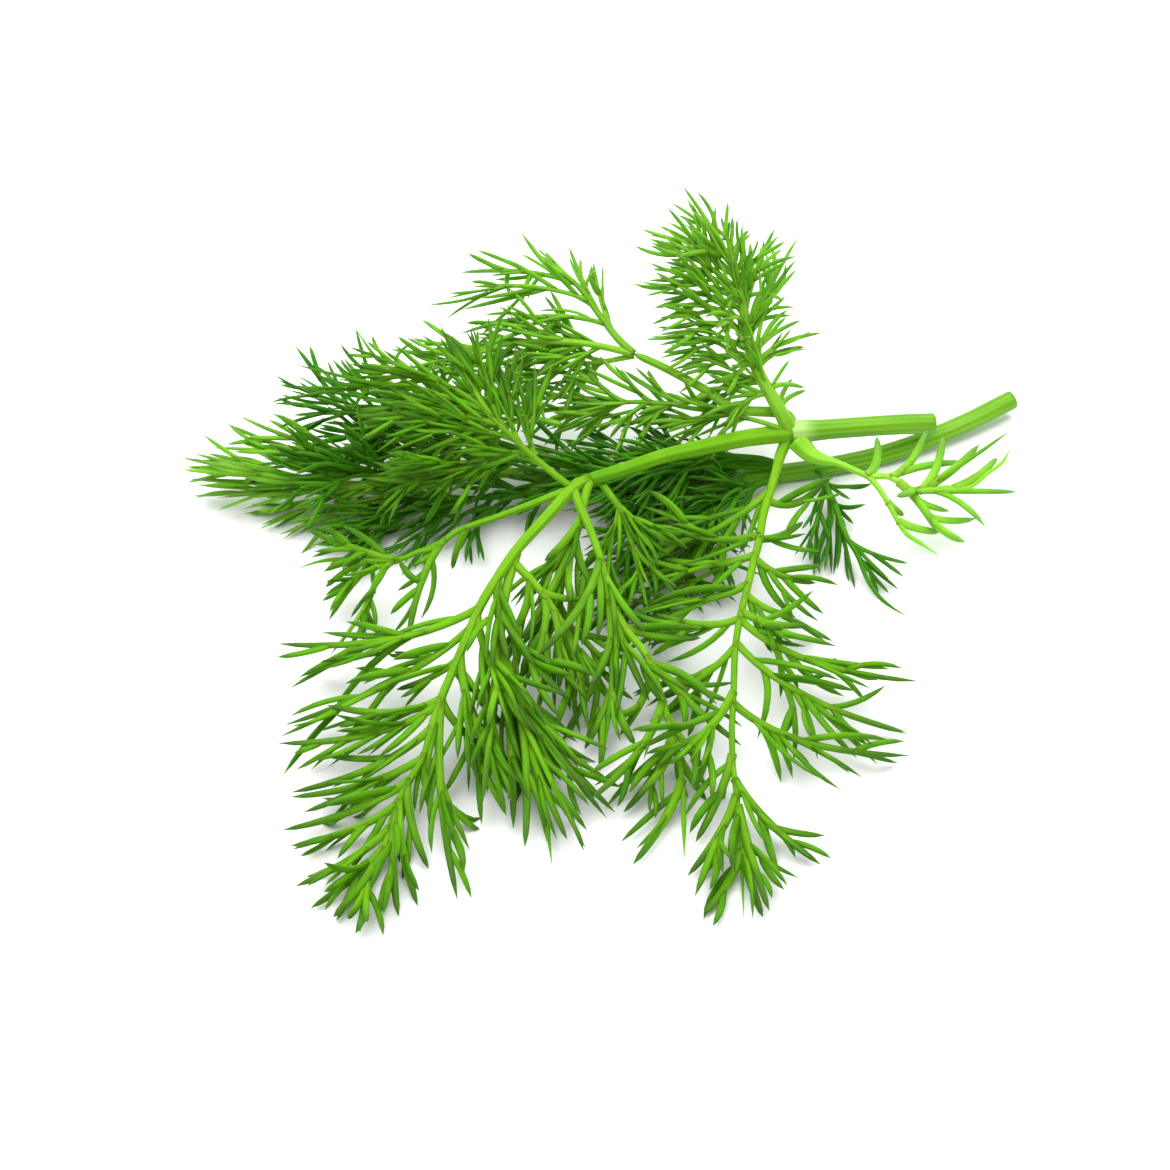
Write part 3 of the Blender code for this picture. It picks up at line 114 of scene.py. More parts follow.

# %% [markdown]
# ## The fronds
# Each frond is a list of divisions: the points of the rachis from its root, its greatest radius, the style
# of its threads, and its pinnae. A pinna is the share of the rachis where it leaves, and its tip. Where its
# threads stand free they are given one by one as well, in a list that follows, and a thread is written as a
# pinna is. An empty list leaves a pinna bare, and one without a list gets its threads by rule. A petiole
# has no style and no pinnae, and doesn't taper to a point.
#
# The largest leaf comes first. It leaves the node of the short stem by a broad petiole, which arches to the
# left and divides at a second node. The long division at the front left and its neighbours are laid thread
# by thread, since they lie open. One division arches up and back over the left cluster, and short ones
# fill the middle.

# %% The big leaf
FRONDS = {}
FRONDS["frond_front_left"] = [
    ([(22.35, 2.9, 12.25), (20.5, 2.4, 12.4), (15, 0, 13.6), (7, -4, 15), (0, -8, 16.5), (-7, -13, 18),
      (-14, -17, 19)], 1.8, None, []),
    ([(-15.5, -18.5, 19), (-20.5, -26, 18.5), (-25.5, -33.5, 18), (-29, -40, 17), (-31.5, -45, 16),
      (-34, -51.5, 14), (-36, -57, 12.5), (-38, -62.5, 11), (-39.5, -68, 9.5), (-40.5, -72.5, 8),
      (-43, -77, 6.5), (-45, -81, 5), (-46.5, -87.5, 3.5), (-48.5, -93, 2.5), (-50, -98.5, 1.5),
      (-50.5, -102, 1)], 1.1, "combed",
     [(0.34, (-67, -44.5, 6), [(0.4, (-59.5, -43, 7)), (0.47, (-61, -49, 4), [(0.56, (-64.5, -52.5, 3))]),
       (0.38, (-60, -53.5, 3)), (0.3, (-55, -49, 8))]),
      (0.38, (-65, -61, 3), [(0.42, (-49, -56, 3)), (0.57, (-65.5, -64, 2), [(0.45, (-64.5, -71.5, 1.5))]),
       (0.33, (-53.5, -55.5, 6)), (0.25, (-46, -46.5, 9))]),
      (0.26, (-26.5, -54.5, 12)), (0.35, (-21, -68.5, 8)), (0.44, (-25.5, -80, 5)),
      (0.45, (-46, -55.5, 6), [(0.29, (-45, -56.5, 4))]),
      (0.54, (-57.5, -59, 6), [(0.36, (-60, -61, 5)), (0.22, (-51.5, -65.5, 3)),
       (0.49, (-60.5, -69.5, 1.5))]),
      (0.55, (-65.5, -66, 4), [(0.27, (-56, -63, 6)), (0.36, (-57, -69.5, 2)), (0.17, (-50, -68.5, 3))]),
      (0.6, (-63, -76, 2.5), [(0.36, (-58.5, -68, 4)), (0.51, (-55.5, -73, 1.5)),
       (0.21, (-51.5, -71.5, 3))]),
      (0.66, (-63, -76.5, 2), [(0.36, (-57.5, -73, 3)), (0.2, (-50, -75.5, 1.5))]),
      (0.71, (-64, -83.5, 1.5), [(0.53, (-58.5, -84, 1)), (0.31, (-58, -78, 3)),
       (0.23, (-52.5, -81.5, 1))]),
      (0.76, (-62.5, -87, 1.5), [(0.48, (-61.5, -87.5, 1.5)), (0.35, (-54, -90, 1))]),
      (0.81, (-61, -95, 1), [(0.49, (-60, -93.5, 1)), (0.32, (-57.5, -94, 1))]),
      (0.85, (-58.5, -100, 1), [(0.59, (-56, -99, 1)), (0.27, (-56, -92.5, 2))]),
      (0.89, (-54.5, -101.5, 1), []), (0.94, (-52, -101.5, 1), []), (0.93, (-48.5, -101.5, 1), []),
      (0.47, (-28.5, -59, 7)),
      (0.54, (-28.5, -69, 4), [(0.58, (-34, -69.5, 2)), (0.69, (-29.5, -75, 1.5))]),
      (0.54, (-34.5, -98.5, 1.5), [(0.44, (-32, -87, 1)), (0.52, (-30.5, -82.5, 1.5)),
       (0.51, (-35, -83, 1)), (0.16, (-38, -75.5, 3))]),
      (0.65, (-39, -80.5, 1.5), [(0.27, (-37.5, -70.5, 2))]),
      (0.72, (-39.5, -91.5, 1), []),
      (0.75, (-41, -99.5, 1), [(0.53, (-43.5, -96, 1)), (0.57, (-41, -95, 1))]),
      (0.77, (-44, -101.5, 1), [(0.52, (-47, -99.5, 1))])]),
    ([(-25.5, -33.5, 17.5), (-27, -39.5, 15.5), (-28, -46, 13.5), (-28.5, -52, 12), (-27, -57.5, 10.5),
      (-24.5, -63.5, 8.5), (-22.5, -71, 6), (-21, -77, 4), (-20, -82.5, 3),
      (-19, -91, 1.5)], 0.9, "combed",
     [(0.15, (-30, -75.5, 2), [(0.53, (-34, -69.5, 2))]),
      (0.28, (-30.5, -77, 2), [(0.51, (-26.5, -70.5, 2))]),
      (0.37, (-25.5, -83.5, 2), [(0.55, (-23.5, -77.5, 2))]),
      (0.53, (-23.5, -87, 1.5), []), (0.44, (-17.5, -72.5, 4)),
      (0.63, (-16.5, -85, 1.5), [(0.44, (-15.5, -82.5, 1.5))]),
      (0.19, (-16, -60, 8)), (0.25, (-18.5, -76, 3)), (0.32, (-12.5, -76.5, 3)),
      (0.45, (-8.5, -80, 2), [(0.53, (-12.5, -81.5, 2)), (0.44, (-8.5, -72.5, 4)),
       (0.65, (-11.5, -77.5, 2))]),
      (0.5, (-13.5, -86.5, 1.5), [(0.62, (-12, -82, 2)), (0.58, (-15.5, -82.5, 1.5))])]),
    ([(-25.5, -36, 17), (-21.5, -40, 15), (-18, -44.5, 12.5), (-14.5, -50, 10),
      (-10.5, -57, 7.5)], 0.8, "combed",
     [(0.13, (-28, -51, 11)), (0.29, (-23.5, -56, 9)), (0.39, (-18, -56.5, 7)), (0.58, (-13.5, -62.5, 6)),
      (0.24, (-13.5, -40.5, 13)), (0.5, (-8, -46.5, 9)), (0.69, (-6.5, -56.5, 7))]),
    ([(-13.5, -20.5, 18.5), (-14.5, -26, 17), (-16, -31.5, 15), (-18.5, -37.5, 12.5),
      (-20.5, -44, 10)], 0.8, "combed",
     [(0.22, (-23, -39, 12)), (0.18, (-20.5, -33, 15), []), (0.4, (-24.5, -47.5, 10)),
      (0.61, (-18, -48, 8)), (0.34, (-11, -38.5, 11)), (0.46, (-16, -40, 12), []),
      (0.54, (-13, -45.5, 9), [])]),
    ([(-15.5, -18, 18.5), (-21.5, -21, 18), (-29, -23.5, 16.5), (-36, -25, 14.5), (-39.5, -27.5, 13),
      (-43.5, -27.5, 11.5), (-46, -28, 10.5), (-50, -28, 10), (-55, -26.5, 9), (-60.5, -26, 8),
      (-65, -26.5, 6.5)], 0.8, "curly",
     [(0.38, (-37, -29, 9), []), (0.46, (-44.5, -27, 11), []),
      (0.49, (-44.5, -43, 5), [(0.32, (-46.5, -30.5, 7)), (0.59, (-46, -41.5, 4)),
       (0.43, (-46.5, -26.5, 9))]),
      (0.64, (-59.5, -31.5, 5), [(0.53, (-58.5, -36, 3)), (0.64, (-57.5, -36, 4)),
       (0.33, (-56, -29.5, 7))]),
      (0.66, (-52.5, -41, 3), [(0.47, (-56, -43.5, 2)), (0.71, (-49.5, -39.5, 2)),
       (0.27, (-54.5, -37, 3))]),
      (0.75, (-59.5, -30.5, 6), []),
      (0.65, (-63, -22, 12), [(0.47, (-61, -26, 9)), (0.59, (-59, -21.5, 12)), (0.35, (-56.5, -27, 9))])]),
    ([(-15.5, -18.5, 19), (-20, -16.5, 21.5), (-24.5, -13.5, 24), (-28.5, -10, 26), (-33.5, -5, 27.5),
      (-39.5, -1, 28.5), (-46, 1, 29), (-50.5, 3.5, 29.5), (-55, 10.5, 31)], 0.7, "fine",
     [(0.26, (-47.5, -7, 22)), (0.33, (-54, -3.5, 22)),
      (0.41, (-58, 3.5, 25), [(0.58, (-66, 3, 26)), (0.71, (-65.5, -1.5, 22)), (0.77, (-55.5, -1, 22)),
       (0.37, (-47, -2, 20)), (0.24, (-43, -5, 18))]),
      (0.54, (-56, 4.5, 28), [(0.52, (-53.5, 0.5, 25)), (0.33, (-49.5, 1.5, 22))]),
      (0.6, (-55.5, 7, 29), [(0.62, (-51.5, 9.5, 31)), (0.22, (-50, 6, 29), [(0.67, (-45.5, 8.5, 30))])]),
      (0.36, (-39.5, 9, 33), [(0.63, (-40.5, 6, 31)), (0.42, (-34, 8, 33))]),
      (0.3, (-34, 8, 33)), (0.23, (-29, 4.5, 31)), (0.16, (-23.5, 0, 28)), (0.19, (-34, -13, 18)),
      (0.28, (-41.5, -10.5, 17))]),
    ([(-15.5, -18.5, 19), (-12.5, -28, 17.5), (-10.5, -34.5, 15.5), (-9.5, -40.5, 13), (-9, -48.5, 11),
      (-9, -58, 8.5), (-10, -67.5, 5)], 0.85, "combed",
     [(0.31, (-21.5, -50, 9), [(0.46, (-12.5, -44.5, 9))]),
      (0.46, (-13, -44.5, 9), []),
      (0.61, (-12.5, -55.5, 7), [(0.44, (-12.5, -58, 6))]),
      (0.61, (-17, -65, 5)), (0.37, (-3, -47.5, 12), []), (0.46, (-2.5, -59, 7)), (0.8, (-13.5, -67.5, 4)),
      (0.8, (-5, -67.5, 5), [])]),
    ([(-10, -38.5, 12.5), (-6.5, -45.5, 11), (-3, -50.5, 9.5), (-1, -56.5, 8), (0.5, -62, 6.5),
      (2, -68.5, 5), (3, -75.5, 3.5), (3, -90, 1.5)], 0.8, "open",
     [(0.26, (13, -67.5, 5), [(0.47, (8.5, -64.5, 4)), (0.44, (3, -62, 4)), (0.28, (12.5, -52.5, 6))]),
      (0.14, (6.5, -46, 9), [(0.46, (3, -40.5, 10))]),
      (0.17, (-11, -48, 7), []),
      (0.71, (-5.5, -91, 1.5), [(0.38, (-0.5, -84, 1))]),
      (0.55, (-7, -80, 2), [(0.46, (-3.5, -79, 1.5))]),
      (0.57, (-4.5, -75.5, 2), []),
      (0.43, (-12.5, -77, 2.5), [(0.43, (-6.5, -73.5, 2)), (0.54, (-11, -75, 2))]),
      (0.48, (7, -72.5, 4), []), (0.61, (7, -77.5, 2), []),
      (0.31, (-7.5, -64.5, 4), [(0.56, (-9, -60, 3))])]),
    ([(-11, -15, 17.5), (-7.5, -20, 15.5), (-5.5, -24.5, 12.5), (-4, -30.5, 10),
      (-2.5, -38, 8)], 0.7, "fine",
     [(0.24, (-13.5, -29, 9)), (0.17, (1, -26, 12)),
      (0.51, (3, -34, 9), [(0.5, (-1, -35.5, 8))]),
      (0.7, (-10, -35.5, 8), [])]),
]
print("frond_front_left", len(FRONDS["frond_front_left"]), "divisions")

# %% [markdown]
# ## The front right leaf
# A slender leaf that hangs forward from the node of the short stem. It is open, with long threads that
# fork wide, and it thins out towards the front.

# %% The front right leaf
FRONDS["frond_front_right"] = [
    ([(22.4, 0.1, 10.2), (21.5, -4, 10.5), (20, -10.5, 10.5), (18.5, -16.5, 10.5), (17.5, -23, 10),
      (16.5, -27.5, 10), (15, -34.5, 9.5), (13.5, -41.5, 9), (12.5, -48.5, 8.5), (12, -57.5, 8),
      (11.5, -65.5, 6.5), (11.5, -72.5, 5.5), (12, -79, 4.5), (12.5, -85, 3.5), (12.5, -93, 2),
      (12.5, -102, 1)], 0.85, "open",
     [(0.1, (2, -23.5, 8)), (0.13, (30.5, -2.5, 6), []), (0.21, (-1.5, -17.5, 9)), (0.26, (-3.5, -23, 7)),
      (0.33, (-7.5, -33.5, 6)), (0.41, (-1.5, -40, 9)), (0.47, (-0.5, -58, 6)), (0.57, (0.5, -70.5, 4)),
      (0.65, (3, -78.5, 3)), (0.22, (25.5, -19, 11)), (0.27, (27.5, -29.5, 6)), (0.35, (23.5, -38, 6)),
      (0.39, (25.5, -43, 9)),
      (0.41, (44, -53.5, 6), [(0.28, (20, -56, 4)), (0.45, (39.5, -49, 7)), (0.6, (35, -57, 5)),
       (0.17, (25, -46.5, 8)), (0.69, (39, -53, 8))]),
      (0.46, (41.5, -64, 4), [(0.24, (18, -62.5, 2)), (0.39, (23, -68.5, 2), [(0.42, (20, -64.5, 2))]),
       (0.53, (34, -70.5, 2)), (0.65, (38.5, -56, 5)), (0.68, (41.5, -64, 3)), (0.44, (26.5, -68, 2)),
       (0.33, (29, -53.5, 7))]),
      (0.59, (41.5, -68, 3), [(0.38, (33.5, -71.5, 3)), (0.74, (39.5, -68.5, 2)), (0.23, (19, -73, 2)),
       (0.27, (23, -72.5, 3))]),
      (0.67, (33, -76.5, 2.5), [(0.38, (20.5, -77, 2)), (0.64, (28, -77.5, 2)), (0.21, (17, -77, 1.5))]),
      (0.74, (25.5, -91, 1.5), [(0.57, (26.5, -84, 2)), (0.36, (19.5, -89, 1.5))]),
      (0.79, (16.5, -100, 1), [(0.4, (21.5, -94, 1))]),
      (0.87, (15.5, -101.5, 1), []), (0.88, (6, -101.5, 1), []),
      (0.77, (3.5, -93.5, 1.5), [(0.47, (6, -98.5, 1)), (0.39, (9, -92.5, 1.5))]),
      (0.69, (5, -86.5, 2), [(0.24, (10, -78, 2))])]),
]
print("frond_front_right", len(FRONDS["frond_front_right"]), "divisions")

# %% [markdown]
# ## The upright leaf
# A short leaf that stands up and back from the node of the short stem. Its threads are short and fine, and
# they stand in a tuft round the stalk, as on a leaf that has not yet spread.

# %% The upright leaf
FRONDS["frond_upright"] = [
    ([(22, 5, 16.2), (20.5, 7, 18), (18.5, 9.5, 20.5), (17, 12.5, 23), (16, 16.5, 25.5), (15.5, 20, 28),
      (14.5, 22, 31), (14, 24, 33.5), (13, 26, 36), (12.5, 27.5, 38.5)], 1.45, "tufted",
     [(0.78, (4.5, 36.5, 43), [(0.37, (3.5, 36, 42))]),
      (0.8, (7.5, 26, 40)),
      (0.86, (11.5, 31, 41), [(0.5, (13.5, 30, 40))]),
      (0.88, (16.5, 29, 39), []), (0.75, (0, 32.5, 37)), (0.69, (-1.5, 30, 35)), (0.65, (1, 27, 33)),
      (0.62, (-2, 24, 31)), (0.58, (0.5, 21.5, 30)), (0.52, (0, 19, 29)), (0.46, (1, 16, 26)),
      (0.37, (0, 14, 24)), (0.3, (4, 11.5, 21)),
      (0.17, (5.5, 3.5, 12), [(0.48, (7.5, 4.5, 13)), (0.34, (9.5, 1.5, 12))]),
      (0.1, (12, 3.5, 14)), (0.18, (8.5, 10, 18)), (0.7, (17, 24.5, 38)),
      (0.55, (21.5, 33, 36), [(0.52, (25.5, 26.5, 34)), (0.68, (19.5, 29.5, 36)), (0.43, (24, 23, 33)),
       (0.25, (23, 19.5, 31))]),
      (0.4, (25.5, 30, 31), [(0.41, (22, 36, 33)), (0.51, (20, 33, 32)), (0.47, (26, 27, 30)),
       (0.33, (24, 22.5, 28)), (0.24, (24.5, 20.5, 26))]),
      (0.46, (21, 19.5, 30)), (0.32, (26, 17.5, 27), []),
      (0.27, (30, 17.5, 24), [(0.36, (24, 17.5, 25))]),
      (0.25, (27, 16, 22), []), (0.36, (14.5, 6, 32), []), (0.51, (10, 8, 33)), (0.25, (12.5, 4.5, 26)),
      (0.63, (12, 15, 34)), (0.12, (26.5, 8, 19), []), (0.0, (24.5, 10.5, 19), []),
      (0.0, (27, 9.5, 17), [])]),
]
print("frond_upright", len(FRONDS["frond_upright"]), "divisions")

# %% [markdown]
# ## The back left leaf
# A leaf that arches back and to the left. Its petiole divides into two fine divisions, and a third leaves
# lower down, towards the middle.

# %% The back left leaf
FRONDS["frond_back_left"] = [
    ([(23.2, 7, 13.4), (14, 5.5, 16), (8.5, 8.5, 18), (1.5, 12, 20), (-4.5, 14.5, 21.5)], 1.1, None, []),
    ([(-4.5, 14.5, 21.5), (-7.5, 16.5, 23.5), (-11, 20.5, 26), (-14, 24, 28.5), (-17, 26, 30.5),
      (-21, 28, 32), (-25.5, 34.5, 34)], 0.8, "fine",
     [(0.16, (-12, 30.5, 30), [(0.48, (-9.5, 26.5, 28))]),
      (0.29, (-16.5, 32.5, 32), [(0.46, (-12, 28, 30))]),
      (0.44, (-21, 31, 32.5), []),
      (0.53, (-36.5, 27.5, 30), [(0.53, (-33, 28.5, 31)), (0.49, (-30.5, 27, 29)), (0.4, (-25.5, 22, 27)),
       (0.32, (-24, 22, 28)), (0.62, (-27, 23.5, 28))]),
      (0.4, (-34, 24, 29), [(0.62, (-40, 24.5, 27)), (0.71, (-40.5, 22, 25)), (0.76, (-30, 23, 29)),
       (0.41, (-34.5, 17.5, 25))]),
      (0.23, (-36.5, 17, 24), [(0.6, (-34.5, 16.5, 22)), (0.32, (-25.5, 15, 22))])]),
    ([(-4.5, 14.5, 21.5), (-11, 15, 23), (-17, 15, 24), (-23.5, 15, 24), (-29, 15, 23), (-34.5, 14.5, 21),
      (-40, 15.5, 19), (-47.5, 14, 18)], 0.75, "fine",
     [(0.12, (-21.5, 18, 26)), (0.25, (-28, 19.5, 26)), (0.39, (-33, 16.5, 23)), (0.21, (-22.5, 11.5, 19)),
      (0.35, (-28, 11.5, 19)), (0.48, (-34.5, 10, 18)), (0.6, (-41, 17.5, 20)), (0.65, (-42, 12, 16)),
      (0.14, (-18, 10, 18))]),
    ([(10, 8, 18), (4, 7, 16), (-3.5, 8, 15.5), (-10.5, 8, 15), (-18, 8, 14)], 0.7, "fine",
     [(0.24, (-2, 13, 19)), (0.41, (-7, 12, 20)), (0.58, (-13, 11, 20)), (0.73, (-19, 11, 18)),
      (0.27, (-3, 4, 12)), (0.43, (-9, 3, 11)), (0.6, (-15, 4, 10)), (0.77, (-21, 6, 11))]),
]
print("frond_back_left", len(FRONDS["frond_back_left"]), "divisions")

# %% [markdown]
# ## The right leaf
# A small bright leaf at the right, with few threads, all given one by one. It leaves the node of the short
# stem by a sheath that holds the node, as every dill leaf does.

# %% The right leaf
FRONDS["frond_right"] = [
    ([(27.5, 0, 10), (29.5, -1.5, 10), (32.5, -2, 9.5), (35, -3, 9), (38.5, -4.5, 8), (41, -8.5, 7),
      (43, -14, 6.5), (44.5, -17, 6), (47, -19, 5.5), (50, -21.5, 5)], 0.8, "free",
     [(0.54, (44.5, -12, 6), []), (0.34, (40, 3.5, 11), []), (0.69, (50.5, -15.5, 5), [])]),
    ([(38.5, -4, 8), (41.5, -4.5, 8.5), (43.5, -6.5, 9), (45.5, -8.5, 9), (48, -9.5, 9.5), (51.5, -9, 10),
      (56, -9, 10), (59.5, -5.5, 10), (62.5, -2.5, 10), (64.5, 1.5, 10)], 0.65, "free",
     [(0.11, (49, 4, 12), [(0.2, (56, -3, 12))]),
      (0.32, (51.5, 1, 13), []),
      (0.31, (58, -0.5, 12.5), [(0.26, (63, 3, 12.5))]),
      (0.51, (62, -0.5, 9.5), []),
      (0.29, (63.5, -8.5, 8), [(0.18, (58.5, -13.5, 7))]),
      (0.18, (50, -16.5, 6), [(0.41, (52.5, -12.5, 7)), (0.74, (57.5, -12, 6)), (0.8, (54, -19, 5))]),
      (0.27, (42.5, -9.5, 8), [])]),
]
print("frond_right", len(FRONDS["frond_right"]), "divisions")

# %% [markdown]
# ## The low right leaf
# A small dark leaf that droops from the long stem to the table.

# %% The low right leaf
FRONDS["frond_right_low"] = [
    ([(30.5, 2, 3), (31, -4, 4.5), (32, -9, 5.5), (33, -14.5, 5.5), (34, -17.5, 5), (35.5, -21, 4.5),
      (37, -26, 3.5), (39, -29.5, 2.5), (41.5, -32, 2), (44, -33, 1)], 0.75, "fine",
     [(0.06, (25.5, -22, 4), [(0.44, (27.5, -24.5, 2))]),
      (0.17, (29.5, -23.5, 3), [(0.51, (32, -23.5, 2))]),
      (0.27, (35, -27, 2), []),
      (0.51, (44.5, -22.5, 4), [(0.46, (42.5, -26.5, 3))]),
      (0.59, (41, -28.5, 2.5), []),
      (0.14, (34, -14, 5), [(0.46, (37.5, -10, 5))]),
      (0.1, (38.5, -5, 7), [])]),
]
print("frond_right_low", len(FRONDS["frond_right_low"]), "divisions")

# %% [markdown]
# ## The end of the long stem
# The long stem ends in a leafy shoot of its own, bright, narrow and pointed to the left.

# %% The end of the long stem
FRONDS["frond_left_end"] = [
    ([(-29.45, 1.15, 4.05), (-50, -3, 5.5), (-56.5, -5, 6.5), (-62.5, -5.5, 7.5), (-69, -5, 8.5),
      (-75.5, -4, 8.5), (-81, -3, 8), (-87.5, -1, 7)], 1.1, "tail",
     [(0.18, (-76, 5, 14), [(0.54, (-70, 3.5, 15)), (0.77, (-77.5, 6, 13)), (0.38, (-72.5, 1.5, 12))]),
      (0.29, (-79.5, 6, 12), [(0.52, (-82, 3, 11), [(0.52, (-79, 6, 12))]), (0.37, (-75, 1, 10))]),
      (0.41, (-85, 0, 10), [(0.54, (-86.5, -0.5, 9)), (0.38, (-79.5, -0.5, 10))]),
      (0.56, (-86, -0.5, 9), [(0.49, (-84, -1, 9))]),
      (0.69, (-87.5, -1, 7), []),
      (0.29, (-85.5, -5, 4), [(0.35, (-81, -4.5, 3)), (0.61, (-86, -1.5, 5)), (0.42, (-76, -7.5, 2))]),
      (0.18, (-76, -7.5, 2), [(0.56, (-71.5, -13.5, 1.5)), (0.4, (-69, -12, 1)), (0.67, (-72.5, -7, 3))]),
      (0.09, (-69, -12, 1), [(0.55, (-62.5, -12.5, 1))]),
      (0.39, (-86, -2.5, 6), [(0.45, (-84, -2.5, 7))])]),
]
print("frond_left_end", len(FRONDS["frond_left_end"]), "divisions")

# %% [markdown]
# ## The dark leaves underneath
# Four leaves lie along the long stem, mostly hidden by the others. They are in shade, so they need only a
# stalk and the tips of their pinnae.

# %% The dark leaves underneath
FRONDS["frond_left_back"] = [
    ([(-18, 1.8, 5.1), (-29, 3.4, 9.4), (-40, 4.4, 12), (-49, 6, 13.2), (-57, 9, 14),
      (-67, 15, 16)], 0.8, "fine",
     [(0.3, (-44, 14, 19)), (0.5, (-58, 15, 20)), (0.3, (-50, -6, 10)), (0.48, (-61, -2, 11)),
      (0.66, (-67, 6, 14))]),
]
FRONDS["frond_left_low"] = [
    ([(-22, -0.7, 2.8), (-30, -4, 3.4), (-40, -7, 3.6), (-50, -10, 3), (-60, -15, 2)], 0.7, "fine",
     [(0.3, (-52, -2, 4)), (0.5, (-62, -9, 3)), (0.2, (-36, -17, 2)), (0.4, (-46, -20, 1.5)),
      (0.6, (-56, -20, 1.5))]),
]
FRONDS["frond_middle"] = [
    ([(19, 2.4, 4.4), (11, 0.5, 6.6), (2, -1.5, 8), (-8, -3, 9), (-20, -3, 10)], 0.75, "fine",
     [(0.2, (-2, 8, 9)), (0.42, (-14, 7, 9)), (0.62, (-24, 4, 9)), (0.25, (0, -13, 8)),
      (0.45, (-14, -13, 9)), (0.62, (-24, -9, 9))]),
]
FRONDS["frond_under"] = [
    ([(10, -0.15, 2.4), (7, -7, 3.6), (3, -16, 4.2), (-1, -26, 4), (-4, -38, 3)], 0.7, "fine",
     [(0.2, (-8, -12, 5)), (0.4, (-12, -24, 3)), (0.6, (-12, -34, 2)), (0.25, (11, -18, 4)),
      (0.5, (9, -30, 3))]),
]
print("leaves:", len(FRONDS))

# %% [markdown]
# ## Divisions inside the bunch
# Between the open leaves the bunch is close to solid with threads. These divisions belong to the same leaves
# and fill that inside. They are in the finished pieces only, since the plain solids would be too heavy with
# them.

